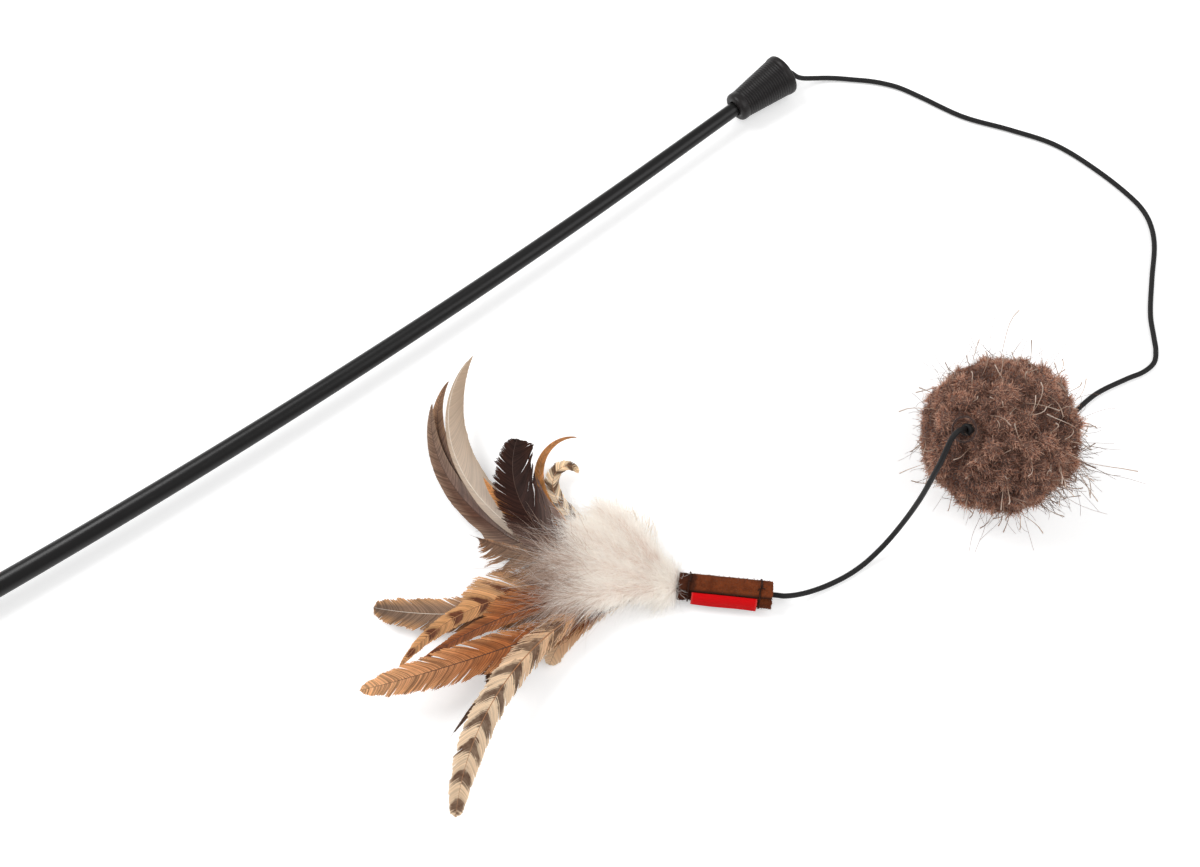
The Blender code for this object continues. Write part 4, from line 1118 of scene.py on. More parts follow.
felt_turn_steps = 110
felt_long_steps = 64
felt_last = FELT_LAP_EDGE + 360 + FELT_TUCK_ANGLE
felt_shape = bmesh.new()
undarkened_felt = felt_shape.verts.layers.float.new("puff")
felt_outline = []
for i in range(felt_turn_steps + 1):
    felt_outline.append((FELT_LAP_EDGE + (felt_last - FELT_LAP_EDGE) * i / felt_turn_steps, 1))
felt_outline += [(angle, -1) for angle, half in felt_outline[::-1]]
felt_rings = []
for i in range(felt_long_steps + 1):
    x = -SLEEVE_LENGTH * i / felt_long_steps
    ring = []
    for angle, half in felt_outline:
        round_it = level(angle) * 1.6
        spot = Vector((x * 260, round_it.x, round_it.y))
        crush = noise.noise(spot) * 0.00016 if half > 0 else 0.0
        fray = noise.noise(spot * 3.1) * 0.00035 if i in (0, felt_long_steps) else 0.0
        squeeze = FELT_SQUEEZE * math.exp(-(((x + STITCH_FROM_MOUTH) / 0.0012) ** 2))
        radius = felt_middle(angle) + half * FELT_THICKNESS * 0.48 + crush - squeeze
        vert = felt_shape.verts.new(section(x + fray, radius, angle))
        # Painted shade along the lap's free edge and the tucked edge; the felt is also made darker
        # towards the mouth.
        edge_near = min(angle - FELT_LAP_EDGE, felt_last - angle) / 14.0
        mouth_near = (-x - DARKENED_MOUTH_LENGTH + noise.noise(spot * 2.0) * 0.0012) / 0.0012
        vert[undarkened_felt] = min(ease(edge_near), ease(mouth_near) * 0.75 + 0.25)
        ring.append(vert)
    felt_rings.append(ring)
close_rings(felt_shape, felt_rings)
felt_mesh = mesh_from("felt_roll", felt_shape)
felt_mesh.set_sharp_from_angle(angle=math.radians(55))

felt_finish, tree, surface = new_finish("brown_felt")
place = object_place(tree)
fibres = clouds(place, 1500.0, 5.0, 0.7, 0.6)
stains = clouds(place, 230.0, 3.0, 0.6)
felt_tone = blend_colours(fibres, dye(66, 25, 11), dye(148, 76, 41))
patch = ramp(stains, 0.42, 0.68, 0.0, 0.6)
felt_tone = blend_colours(patch, felt_tone, dye(64, 26, 13))
# Painted shade at the lap's edges, and darker towards the mouth; the felt's fuzz reads the same share.
undarkened = mesh_value(tree, "puff")
felt_tone = blend_colours(undarkened, dye(44, 25, 18), felt_tone)
lay_surface(tree, surface, felt_tone, 0.95, (1.0, 0.0004, fibres), gloss=0.1)
felt = add_piece("felt_roll", felt_mesh, felt_finish)
fuzz_finish = strand_finish(
    "felt_fuzz", dye(62, 34, 20), dye(118, 72, 44), dye(146, 96, 62), 0.6, 0.9, 0.2
)
felt_fuzz = grow(
    "felt_fuzz", felt_mesh.copy(), pile_strands,
    density=3.2e6, seed=8, length=0.0009, length_spread=0.6, stand=0.5, scatter=1.0, clump=1.0,
    clump_size=0.002, curl=0.6, wave_size=0.001, width=0.00008, tip=0.5, floor=FLOOR_Z + 0.0001,
    material=fuzz_finish,
)
for piece in (felt, felt_fuzz):
    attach(piece, "lure")
    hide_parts("felt_sleeve")

# Label
# A folded tab of woven red ribbon, sewn in under the lap's free edge, with its fold hanging past
# the sleeve's side. It is plain.
LABEL_LENGTH = 0.0240
LABEL_START = 0.0050
LABEL_DROP = 0.0062
LABEL_THICKNESS = 0.0006
LABEL_DROP_START = 12.0

label_seat = SLEEVE_BORE_DIAMETER / 2 + FELT_THICKNESS + TOUCH_GAP
label_root = FELT_LAP_EDGE - math.degrees(TOUCH_GAP * 1.3 / label_seat)
label_wrapped = math.radians(label_root - LABEL_DROP_START) * label_seat
label_hang = LABEL_DROP - label_wrapped


def label_section(side):
    """Outline points of one face of the folded tab, from its root to its fold."""
    points = []
    radius = label_seat + (LABEL_THICKNESS if side > 0 else 0.0)
    for i in range(13):
        angle = math.radians(label_root + (LABEL_DROP_START - label_root) * i / 12)
        points.append(Vector((radius * math.cos(angle), radius * math.sin(angle))))
    down = level(LABEL_DROP_START - 90).xy
    for i in range(1, 13):
        points.append(points[12] + down * label_hang * i / 12)
    return points


label_steps = 46
label_outline = label_section(1)
fold_inner = label_section(-1)
middle = (label_outline[-1] + fold_inner[-1]) / 2
reach = (label_outline[-1] - fold_inner[-1]) / 2
down = (label_outline[-1] - label_outline[-2]).normalized()
for i in range(1, 6):
    angle = math.pi * i / 6
    bulge = down * math.sin(angle) * LABEL_THICKNESS / 2
    label_outline.append(middle + reach * math.cos(angle) + bulge)
label_outline += fold_inner[::-1]
label_shape = bmesh.new()
label_wrap = label_shape.loops.layers.uv.new("wrap")
label_rings = []
for i in range(label_steps + 1):
    x = -LABEL_START - LABEL_LENGTH * i / label_steps
    ring = []
    for j, point in enumerate(label_outline):
        low = 0.5 - 0.5 * math.cos(2 * math.pi * j / (len(label_outline) - 1))
        wave = noise.noise(Vector((x * 120, j * 0.05, 3.0))) * 0.00022 * low
        edge = 0.00010 * math.sin(j * 1.7) if i in (0, label_steps) else 0.0
        across = point.x + wave + SLEEVE_SIDE_SHIFT
        ring.append(label_shape.verts.new(lure_point(x + edge, across, point.y + wave * 0.4)))
    label_rings.append(ring)
label_heights = [i / label_steps for i in range(label_steps + 1)]
close_rings(label_shape, label_rings, label_wrap, label_heights)
label_mesh = mesh_from("ribbon_label", label_shape)
label_mesh.set_sharp_from_angle(angle=math.radians(60))
label_finish, tree, surface = new_finish("woven_red_ribbon")
wrap = take(tree, "ShaderNodeUVMap", uv_map="wrap")
ribs = put(tree, "ShaderNodeTexWave", {0: wrap, 1: 38.0, 2: 0.4}, bands_direction="Y").outputs[1]
picks = put(tree, "ShaderNodeTexWave", {0: wrap, 1: 30.0, 2: 0.4}, bands_direction="X").outputs[1]
# Painted shade: the ribbon is painted darker red between the threads of its weave and lighter on them.
cloth = times(ribs, picks)
weave_shaded_red = blend_colours(cloth, dye(210, 8, 14), dye(244, 18, 26))
cut_edge = put(tree, "ShaderNodeSeparateXYZ", {0: wrap}).outputs[1]
from_end = calc("MINIMUM", cut_edge, minus(1.0, cut_edge))
pale = ramp(from_end, 0.0, 0.03, 0.4, 0.0)
weave_shaded_red = blend_colours(pale, weave_shaded_red, dye(232, 110, 104))
lay_surface(tree, surface, weave_shaded_red, 0.7, (0.6, 0.00012, cloth), gloss=0.08)
label = add_piece("ribbon_label", label_mesh, label_finish)
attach(label, "lure")
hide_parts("label")

# Threads
# One dark thread is tied round the sleeve near its cord end, with three short ends on top, and a
# second near the mouth. Another whips the quills together where they leave the felt.
TIE_ANGLE = 100.0
TIE_STEPS = 80
THREAD_TAIL_RADIUS = 0.00022
THREAD_TAILS = ((0.5, 0.5, 0.0022), (-0.7, 0.2, 0.0017), (0.2, -0.8, 0.0014))

thread_finish, tree, surface = new_finish("dark_thread")
place = object_place(tree)
plies = clouds(place, 2500.0, 2.0)
thread_tone = blend_colours(plies, dye(26, 12, 8), dye(64, 36, 24))
lay_surface(tree, surface, thread_tone, 0.8, (0.6, 0.0001, plies), gloss=0.15)


def tie_thread(name, node, x):
    """One thread round the sleeve, whose end climbs over its start."""
    line = []
    for i in range(TIE_STEPS + 1):
        angle = TIE_ANGLE + 360 * i / TIE_STEPS
        around = max(felt_outside(angle + spread) for spread in (-14, -7, 0, 7, 14))
        crossing = math.exp(-((min(i, TIE_STEPS - i) / 3.0) ** 2))
        rise = STITCH_THREAD_DIAMETER * 0.45 * crossing
        drift = 0.0006 * (i / TIE_STEPS - 0.5)
        line.append(section(x + drift, around + STITCH_THREAD_DIAMETER * 0.3 + rise, angle))
    mesh = tube_mesh(name, line, lambda run: STITCH_THREAD_DIAMETER / 2, 10)
    piece = add_piece(name, mesh, thread_finish)
    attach(piece, "lure")
    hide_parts(node)


stitch_x = -SLEEVE_LENGTH + STITCH_FROM_CORD_END
tie_thread("tied_thread", "sleeve_stitch", stitch_x)
tie_thread("mouth_thread", "mouth_stitch", -STITCH_FROM_MOUTH)
start = section(stitch_x, felt_outside(TIE_ANGLE) + STITCH_THREAD_DIAMETER, TIE_ANGLE)
for number, (lean_x, lean_y, length) in enumerate(THREAD_TAILS):
    tip = start + LURE_PLACE.to_3x3() @ Vector((lean_x, lean_y, 0.45)).normalized() * length
    raised_middle = start.lerp(tip, 0.5) + Vector((0, 0, 0.0003))
    name = f"thread_tail_{number + 1}"
    line = smooth_line([start, raised_middle, tip], 0.0002)
    tail_mesh = tube_mesh(name, line, lambda run: THREAD_TAIL_RADIUS, 8)
    tail = add_piece(name, tail_mesh, thread_finish)
    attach(tail, "lure")
    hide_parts("sleeve_stitch")
coat(thread_finish, "quill_binding")

# Feathers
# Nineteen small cock and hen feathers, natural colours, their quills whipped together in rows.
# Each has a tapered shaft with two vanes of barbs that lie in one thin curved sheet.
QUILL_THICKNESS = 0.0004
QUILL_DEPTH_IN_SLEEVE = 0.0100
QUILL_COLUMN_PITCH = 0.0012
ROW_COUNT = 7
ROW_FAN_LENGTH = 0.035
BARE_QUILL_LENGTH = 0.026
BUNDLE_END = 0.0031
ROW_PITCH = QUILL_THICKNESS + TOUCH_GAP
LOWEST_ROW = -(ROW_COUNT - 1) / 2 * ROW_PITCH
# Name, row, column, heading at the binding, turn along the shaft, how late it turns, length,
# width and roundness of the tip
FEATHERS = (
    ("curled_black", 6, -0.5, 1, -104, 1.7, 0.090, 0.0205, 0.4),
    ("long_barred", 6, 0.5, 8, 84, 0.8, 0.124, 0.0120, 0.35),
    ("strip_tan", 5, -1, -11, -46, 3.0, 0.081, 0.0070, 0.8),
    ("wisp_pointed", 5, 0, 2, -17, 1.0, 0.076, 0.0040, 1.0),
    ("long_chestnut", 5, 1, 29, -8, 2.0, 0.118, 0.0150, 0.5),
    ("centre_grey", 4, -0.5, -7, -23, 1.0, 0.069, 0.0080, 0.7),
    ("lobe_chestnut", 4, 0.5, 7, 35, 1.0, 0.097, 0.0070, 0.8),
    ("wisp_orange", 3, -1, -17, -176, 3.0, 0.092, 0.0042, 1.0),
    ("sickle_beige", 3, 0, -6, -119, 2.0, 0.141, 0.0105, 0.8),
    ("spotted_tan", 3, 1, 4, 60, 2.0, 0.108, 0.0085, 0.7),
    ("arch_cream", 2, -1.5, -61, 68, 1.5, 0.043, 0.0060, 0.8),
    ("curl_barred", 2, -0.5, -27, -230, 6.0, 0.075, 0.0080, 0.5),
    ("sickle_umber", 2, 0.5, -4, -87, 2.0, 0.127, 0.0088, 0.8),
    ("small_orange", 2, 1.5, 3, 56, 1.0, 0.059, 0.0080, 0.6),
    ("sickle_brown", 1, -1, -13, -104, 3.0, 0.132, 0.0088, 0.8),
    ("round_grey", 1, 0, 17, -22, 2.5, 0.110, 0.0150, 0.35),
    ("dark_pointed", 1, 1, 20, 42, 1.0, 0.099, 0.0050, 1.0),
    ("sickle_thin", 0, -0.5, 2, -80, 1.5, 0.120, 0.0050, 1.0),
    ("small_pale", 0, 0.5, 16, 64, 1.7, 0.056, 0.0110, 0.4),
)
# Barbs shorter than this are left out
LEAST_BARB = 0.0002
# How much of the vane lies on the side towards the bend, where it isn't half
INNER_VANE = {"curled_black": 0.6, "sickle_beige": 0.85}
# Width of a vane's downy part, on its left and on its right, and the share of the vane it covers
DOWNY_PART = {
    "curled_black": (0.002, 0.017, 0.62),
    "wisp_pointed": (0.012, 0.003, 0.95),
    "centre_grey": (0.010, 0.005, 0.95),
    "lobe_chestnut": (0.003, 0.009, 0.62),
    "arch_cream": (0.002, 0.009, 0.62),
    "spotted_tan": (0.003, 0.011, 0.62),
    "strip_tan": (0.004, 0.004, 0.62),
    "sickle_umber": (0.007, 0.003, 0.50),
    "sickle_thin": (0.008, 0.004, 0.62),
    "dark_pointed": (0.003, 0.010, 0.70),
    "round_grey": (0.003, 0.006, 0.50),
}


def row_height(row, x, y):
    """Height of a row's surface: rows part as they leave the binding, the lowest stays level."""
    reach = math.hypot(x - BUNDLE_END, y) if x > BUNDLE_END else 0.0
    height = LOWEST_ROW + row * ROW_PITCH
    return height + (height - LOWEST_ROW) * reach / ROW_FAN_LENGTH


def shaft_line(column, heading, turn, lateness, length, stations):
    """(x, y, heading) down a feather's shaft, from the binding to the tip."""
    x, y = BUNDLE_END, column * QUILL_COLUMN_PITCH
    line = [(x, y, heading)]
    step = length / stations
    for i in range(1, stations + 1):
        course = heading + turn * ((i - 0.5) / stations) ** lateness
        x += step * math.cos(math.radians(course))
        y += step * math.sin(math.radians(course))
        line.append((x, y, heading + turn * (i / stations) ** lateness))
    return line


def vane_share(share, roundness):
    return math.sin(math.pi * min(max(share, 0), 1) ** 0.8) ** roundness


def barbs_down(tree, given, roots, unit, side, width_name):
    """The barbs down one side of a shaft, side 1 on its left or -1 on its right, in loose locks."""
    width = recalled(tree, width_name)
    share = recalled(tree, "share")
    lane_start = times_plus(given["Seed"], 7.3, side * 3.1)
    lane = times_plus(share, 26.0, lane_start)
    lane_place = take(tree, "ShaderNodeCombineXYZ", {0: lane})
    cell = put(tree, "ShaderNodeTexVoronoi", {0: lane_place, 2: 1.0, 8: 1.0}).outputs
    lock = put(tree, "ShaderNodeSeparateXYZ", {0: cell[1]}).outputs
    pull = minus(lock[0], 0.5)
    crest_light_and_fuzz = calc("ADD", random_number(tree, 21 + side), lock[1])
    frayed = times(crest_light_and_fuzz, given["Fray"])
    width = times(width, minus(1.0, frayed))
    lean = times_plus(pull, given["Split"], given["Lean"])
    near_tip = times_plus(calc("POWER", share, 6.0), -0.75, 1.0)
    lean = times(lean, near_tip)
    forward = times(times(width, lean), -side)
    cup = times(width, given["Cup"])
    size = take(tree, "ShaderNodeCombineXYZ", {0: width, 1: forward, 2: cup})
    outward = scaled(recalled_vector(tree, "left"), side)
    turn = take(
        tree,
        "FunctionNodeAxesToRotation",
        {0: outward, 1: recalled_vector(tree, "up")},
        primary_axis="X",
        secondary_axis="Z",
    )
    points = stored(roots, "tone", random_number(tree, 31 + side))
    points = stored(points, "side", side)
    points = stored(points, "stray", random_vector(tree, 41 + side), "FLOAT_VECTOR")
    points = stored(points, "width_here", width)
    wide = take(
        tree,
        "FunctionNodeCompare",
        {0: width, 1: LEAST_BARB},
        data_type="FLOAT",
        operation="GREATER_THAN",
    )
    barbs = take(
        tree, "GeometryNodeInstanceOnPoints", {0: points, 1: wide, 2: unit, 5: turn, 6: size}
    )
    return take(tree, "GeometryNodeRealizeInstances", {0: barbs})


def build_vane():
    """A feather: barbs set down both sides of a shaft, downy at its base, and the shaft itself."""
    tree, given, result = new_growth(
        "barbed_vane",
        (
            "Lean", "Cup", "Fray", "Split", "Wave", "Fluff", "Fluff End", "Edge", "Barb Width",
            "Shaft Radius", "Floor",
        ),
        counts=("Barbs", "Seed"),
        materials=("Vane", "Shaft"),
    )
    shaft = take(tree, "GeometryNodeMeshToCurve", {0: given["Geometry"]})
    roots = take(tree, "GeometryNodeResampleCurve", {0: shaft, 2: given["Barbs"]})
    unit = take(tree, "GeometryNodeCurvePrimitiveLine", {0: (0, 0, 0), 1: (1, 0, 0)})
    unit = take(tree, "GeometryNodeResampleCurve", {0: unit, 2: 8})
    reach = take(tree, "GeometryNodeSplineParameter")
    ahead = calc("POWER", reach, 1.35)
    dip = calc("POWER", reach, 2.0)
    unit_place = take(tree, "ShaderNodeCombineXYZ", {0: reach, 1: ahead, 2: dip})
    unit = take(tree, "GeometryNodeSetPosition", {0: unit, 2: unit_place})
    sides = []
    for side, name in ((1, "left"), (-1, "right")):
        sides.append(barbs_down(tree, given, roots, unit, side, "reach_" + name))
    both = put(tree, "GeometryNodeJoinGeometry")
    for barbs in sides:
        tree.links.new(barbs, both.inputs[0])
    out = take(tree, "GeometryNodeSplineParameter")
    barbs = stored(both.outputs[0], "reach", out)
    place = take(tree, "GeometryNodeInputPosition")
    ripple = centred(place, 260.0, 2.0)
    amount = times(out, given["Wave"])
    amount = times(amount, recalled(tree, "width_here"))
    barbs = moved(barbs, scaled(ripple, amount))
    downy = ramp(recalled(tree, "share"), given["Fluff End"], 0.0)
    tangle = centred(place, 620.0, 3.0)
    tangle = vectors("ADD", tangle, scaled(recalled_vector(tree, "stray"), 0.35))
    loose = times(times(out, given["Fluff"]), downy)
    barbs = moved(barbs, scaled(tangle, loose))
    barbs = kept_above(barbs, given["Floor"])
    barbs = take(
        tree,
        "GeometryNodeSetCurveNormal",
        {0: barbs, 2: recalled_vector(tree, "up")},
        mode="FREE",
    )
    tilt = times_plus(recalled(tree, "side"), 0.22, math.pi / 2)
    barbs = take(tree, "GeometryNodeSetCurveTilt", {0: barbs, 2: tilt})
    thin = times(calc("POWER", out, 2.0), given["Edge"])
    thin = minus(1.0, thin)
    thin = times(thin, times_plus(downy, -0.65, 1.0))
    section = ribbon(given["Barb Width"])
    vane = take(tree, "GeometryNodeCurveToMesh", {0: barbs, 1: section, 2: thin})
    vane = take(tree, "GeometryNodeSetMaterial", {0: vane, 2: given["Vane"]})
    radius = given["Shaft Radius"]
    round_section = take(tree, "GeometryNodeCurvePrimitiveCircle", {0: 8, 4: radius})
    stem = take(
        tree,
        "GeometryNodeCurveToMesh",
        {0: shaft, 1: round_section, 2: recalled(tree, "thick"), 3: True},
    )
    stem = take(tree, "GeometryNodeSetMaterial", {0: stem, 2: given["Shaft"]})
    whole = put(tree, "GeometryNodeJoinGeometry")
    tree.links.new(vane, whole.inputs[0])
    tree.links.new(stem, whole.inputs[0])
    made = take(tree, "GeometryNodeSetShadeSmooth", {0: whole.outputs[0]})
    tree.links.new(take(tree, "GeometryNodeRealizeInstances", {0: made}), result)
    return tree


barbed_vane = build_vane()


def shaft_mesh(name, row, column, heading, turn, lateness, length, width, roundness):
    """The shaft's line with what the barbs need at each point: their side, up and reach."""
    stations = 60
    bare = min(BARE_QUILL_LENGTH, length * 0.25)
    inner_share = INNER_VANE.get(name, 0.5)
    downy_left, downy_right, downy_end = DOWNY_PART.get(name, (0.0025, 0.0025, 0.62))
    shape = bmesh.new()
    layers = shape.verts.layers
    up_layer, left_layer = layers.float_vector.new("up"), layers.float_vector.new("left")
    numbers = {key: layers.float.new(key) for key in ("reach_left", "reach_right", "share", "thick")}
    spots = [(-QUILL_DEPTH_IN_SLEEVE, column * QUILL_COLUMN_PITCH, 0.0, 0.0)]
    for i, (x, y, course) in enumerate(shaft_line(column, heading, turn, lateness, length, stations)):
        spots.append((x, y, course, length * i / stations))
    last = None
    for x, y, course, along in spots:
        share = (along - bare) / (length - bare)
        vert = shape.verts.new(lure_point(x, y, row_height(row, x, y)))
        ahead = level(course)
        lateral = Vector((-ahead.y, ahead.x, 0))
        tip = Vector((x, y, 0)) + ahead * 0.001
        rise = (row_height(row, tip.x, tip.y) - row_height(row, x, y)) / 0.001
        ahead = (ahead + Vector((0, 0, rise))).normalized()
        turn_matrix = LURE_PLACE.to_3x3()
        vert[left_layer] = turn_matrix @ lateral
        vert[up_layer] = turn_matrix @ ahead.cross(lateral)
        vane = width * vane_share(share, roundness) if share > 0 else 0.0
        swell = abs(math.sin(math.pi * min(max(share + 0.03, 0) / downy_end, 1))) ** 0.6
        vert[numbers["reach_left"]] = max(vane * (1 - inner_share), downy_left * swell)
        vert[numbers["reach_right"]] = max(vane * inner_share, downy_right * swell)
        vert[numbers["share"]] = max(share, 0.0)
        vert[numbers["thick"]] = max(1 - 0.85 * along / length, 0.12)
        if last:
            shape.edges.new((last, vert))
        last = vert
    return mesh_from(name, shape, smooth=False)


def build_plumage():
    """Shared effect: a feather's colour from root to tip, its edge, its bars and its flecks."""
    numbers = ("Edge Amount", "Bars", "Bar Start", "Bar Amount", "Bar Size", "Bar Reach", "Flecks")
    inputs = {"Color": ("Root", "Middle", "Tip", "Edge", "Bar"), "Float": numbers}
    tree, given, result = new_group("plumage", "ShaderNodeTree", inputs, {"Color": ("Colour",)})
    share = mesh_value(tree, "share")
    reach = mesh_value(tree, "reach")
    tone = mesh_value(tree, "tone")
    place = object_place(tree)
    cloud = clouds(place, 240.0, 4.0, 0.6)
    stray = times_plus(minus(cloud, 0.5), 0.06, share)
    stray = times_plus(minus(tone, 0.5), 0.020, stray)
    low = ramp(stray, 0.05, 0.5)
    high = ramp(stray, 0.5, 0.98)
    colour = blend_colours(low, given["Root"], given["Middle"])
    colour = blend_colours(high, colour, given["Tip"])
    rim = ramp(reach, 0.35, 0.95)
    rim = times(rim, times_plus(tone, 0.6, 0.4))
    rim = times(rim, given["Edge Amount"])
    colour = blend_colours(rim, colour, given["Edge"])
    phase = times(minus(stray, given["Bar Start"]), given["Bars"])
    wave = calc("COSINE", times(phase, 2 * math.pi))
    outer = calc("POWER", reach, 2.0)
    narrow = times_plus(outer, given["Bar Reach"], given["Bar Size"])
    bar = ramp(wave, narrow, calc("ADD", narrow, 0.7))
    bar = times(bar, times_plus(cloud, 0.8, 0.55))
    bar = calc("MINIMUM", times(bar, given["Bar Amount"]), 1.0)
    colour = blend_colours(bar, colour, given["Bar"])
    streak = times_plus(minus(cloud, 0.5), 0.5, tone)
    bright = times_plus(minus(streak, 0.5), given["Flecks"], 1.0)
    tree.links.new(scaled(colour, bright), result["Colour"])
    return tree


plumage = build_plumage()


def vane_finish(name, colours, edge_amount=0.5, roughness=0.55, gloss=0.25, through=0.2, **marks):
    """Barbs in four colours, at the root, middle, tip and edge, with what marks them."""
    made, tree, surface = new_finish(name)
    root, middle, tip, edge = [dye(*colour) for colour in colours]
    marks.setdefault("flecks", 0.7)
    tone = add_group(
        tree, plumage, root=root, middle=middle, tip=tip, edge=edge, edge_amount=edge_amount, **marks
    )["Colour"]
    tree.links.new(thin_surface(tree, tone, roughness, gloss, 0.0, through), surface)
    return made


def shaft_finish(name, colour, dark):
    """Horn of the shaft, darker in streaks along it."""
    made, tree, surface = new_finish(name)
    place = object_place(tree)
    streaks = clouds(place, 420.0, 3.0)
    tone = blend_colours(streaks, dark, colour)
    shader = put(tree, "ShaderNodeBsdfPrincipled", {"Base Color": tone, "Roughness": 0.35})
    tree.links.new(shader.outputs[0], surface)
    return made


dark_shaft = shaft_finish("dark_shaft", dye(92, 58, 38), dye(44, 26, 18))
pale_shaft = shaft_finish("pale_shaft", dye(242, 234, 222), dye(208, 190, 170))
tan_shaft = shaft_finish("tan_shaft", dye(190, 134, 86), dye(132, 84, 50))

# How the barbs stand: in a closed blade, in a hackle or loose
BLADE = dict(lean=1.5, split=0.06, fray=0.025, wave=0.10, edge=0.30, fluff=0.0045, fluff_end=0.30)
HACKLE = dict(lean=1.4, split=0.30, fray=0.11, wave=0.20, edge=0.55, fluff=0.0045, fluff_end=0.38)
LOOSE = dict(lean=1.0, split=0.55, fray=0.20, wave=0.45, edge=0.75, fluff=0.0060, fluff_end=0.60)
# Per feather: how its barbs stand, its shaft, its colours at the root, middle, tip and edge, and
# what else marks it
LOOKS = {
    "curled_black": (
        HACKLE, dark_shaft, ((160, 138, 128), (50, 28, 22), (46, 32, 28), (92, 54, 36)),
        dict(edge_amount=0.3, flecks=0.9, roughness=0.42, gloss=0.1, through=0.05),
    ),
    "long_barred": (
        HACKLE, tan_shaft, ((214, 160, 108), (230, 206, 176), (214, 188, 158), (236, 212, 184)),
        dict(bar=dye(100, 72, 54), bars=9.2, bar_start=0.304, bar_amount=0.95, bar_size=-0.35,
             bar_reach=1.1, flecks=0.4),
    ),
    "strip_tan": (
        HACKLE, tan_shaft, ((176, 142, 112), (170, 120, 80), (206, 142, 84), (220, 162, 104)),
        {},
    ),
    "wisp_pointed": (
        LOOSE, dark_shaft, ((200, 182, 170), (150, 122, 100), (104, 72, 52), (196, 136, 84)),
        {},
    ),
    "long_chestnut": (
        HACKLE, dark_shaft, ((112, 54, 22), (166, 98, 50), (210, 162, 118), (222, 168, 116)),
        dict(flecks=1.0),
    ),
    "centre_grey": (
        LOOSE, dark_shaft, ((206, 188, 172), (176, 150, 128), (142, 112, 88), (190, 160, 132)),
        {},
    ),
    "lobe_chestnut": (
        HACKLE, dark_shaft, ((120, 60, 26), (156, 90, 46), (120, 62, 32), (196, 134, 80)),
        dict(flecks=1.0),
    ),
    "wisp_orange": (
        BLADE, tan_shaft, ((206, 160, 110), (206, 142, 80), (170, 118, 76), (222, 168, 110)),
        {},
    ),
    "sickle_beige": (
        BLADE, pale_shaft, ((226, 216, 206), (208, 190, 172), (190, 166, 142), (196, 174, 150)),
        dict(edge_amount=0.7, flecks=0.25),
    ),
    "spotted_tan": (
        HACKLE, tan_shaft, ((200, 172, 146), (204, 150, 98), (196, 146, 98), (220, 174, 126)),
        dict(bar=dye(108, 60, 34), bars=7.6, bar_start=0.517, bar_amount=1.2, bar_size=-0.05,
             bar_reach=1.3),
    ),
    "arch_cream": (
        LOOSE, pale_shaft, ((240, 232, 220), (240, 230, 214), (232, 214, 190), (188, 152, 118)),
        dict(edge_amount=0.35, through=0.5, flecks=0.3),
    ),
    "curl_barred": (
        HACKLE, tan_shaft, ((238, 226, 208), (234, 214, 186), (228, 198, 160), (232, 206, 170)),
        dict(bar=dye(112, 86, 66), bars=8.5, bar_start=0.8, bar_amount=1.1, bar_size=0.0,
             bar_reach=0.2),
    ),
    "sickle_umber": (
        BLADE, dark_shaft, ((168, 146, 130), (92, 60, 46), (138, 112, 94), (160, 132, 110)),
        dict(edge_amount=0.8, roughness=0.4, through=0.08),
    ),
    "small_orange": (
        HACKLE, tan_shaft, ((222, 182, 138), (212, 158, 104), (216, 168, 120), (228, 190, 146)),
        {},
    ),
    "sickle_brown": (
        BLADE, dark_shaft, ((160, 134, 116), (116, 84, 66), (150, 116, 92), (190, 150, 112)),
        dict(edge_amount=0.6, roughness=0.42, through=0.08),
    ),
    "round_grey": (
        HACKLE, pale_shaft, ((204, 146, 92), (172, 138, 112), (112, 88, 70), (214, 160, 106)),
        dict(edge_amount=0.8),
    ),
    "dark_pointed": (
        HACKLE, dark_shaft, ((160, 116, 78), (116, 84, 62), (76, 54, 42), (130, 96, 70)),
        {},
    ),
    "sickle_thin": (
        LOOSE, dark_shaft, ((186, 160, 140), (150, 120, 98), (120, 92, 74), (176, 144, 118)),
        {},
    ),
    "small_pale": (
        HACKLE, tan_shaft, ((240, 216, 190), (244, 208, 168), (246, 218, 184), (246, 226, 200)),
        dict(flecks=0.3, through=0.4),
    ),
}
BARB_PITCH = 0.00026
BARB_WIDTH = 0.00046
VANE_CUP = -0.16
SHAFT_RADIUS = 0.00034
for number, (name, *sizes) in enumerate(FEATHERS):
    stand, shaft_look, colours, marks = LOOKS[name]
    vane = grow(
        "vane_" + name, shaft_mesh(name, *sizes), barbed_vane,
        cup=VANE_CUP, barb_width=BARB_WIDTH, shaft_radius=SHAFT_RADIUS, seed=number + 1,
        barbs=round(sizes[5] / BARB_PITCH), shaft=shaft_look,
        vane=vane_finish("vane_" + name, colours, **marks), **stand,
    )
    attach(vane, "lure")
    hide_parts("feather_" + name)

# Down
# Four fluffy plumes tied in over the quills hide the binding: fine white barbs that lie along the
# feathers, with longer wisps and, on the lower and front plumes, long greyer strands towards their
# ends that paint shade on the fluff's lower side. Short down rings the felt's mouth.
DOWN_WIDTH = 0.0105
DOWN_THICKNESS = 0.0060
DOWN_FIRST_HEADING = -36.0
DOWN_SPREAD = 16.0
DOWN_COLUMN_PITCH = 0.0016
COLLAR_RINGS = (
    (0.0005, 0.0030), (0.0010, 0.0038), (0.0025, 0.0041), (0.0045, 0.0043), (0.0065, 0.0040),
)
COLLAR_SIDES = 20
LOWER_SHADE_PLUMES = ("lower", "front")
DOWN_PLUMES = (("back", 0.036), ("upper", 0.041), ("lower", 0.043), ("front", 0.040))

down_finish = strand_finish(
    "white_down", dye(230, 215, 205), dye(252, 249, 244), dye(255, 254, 250), 0.2, 0.8, 0.2, 0.45, 0.72
)
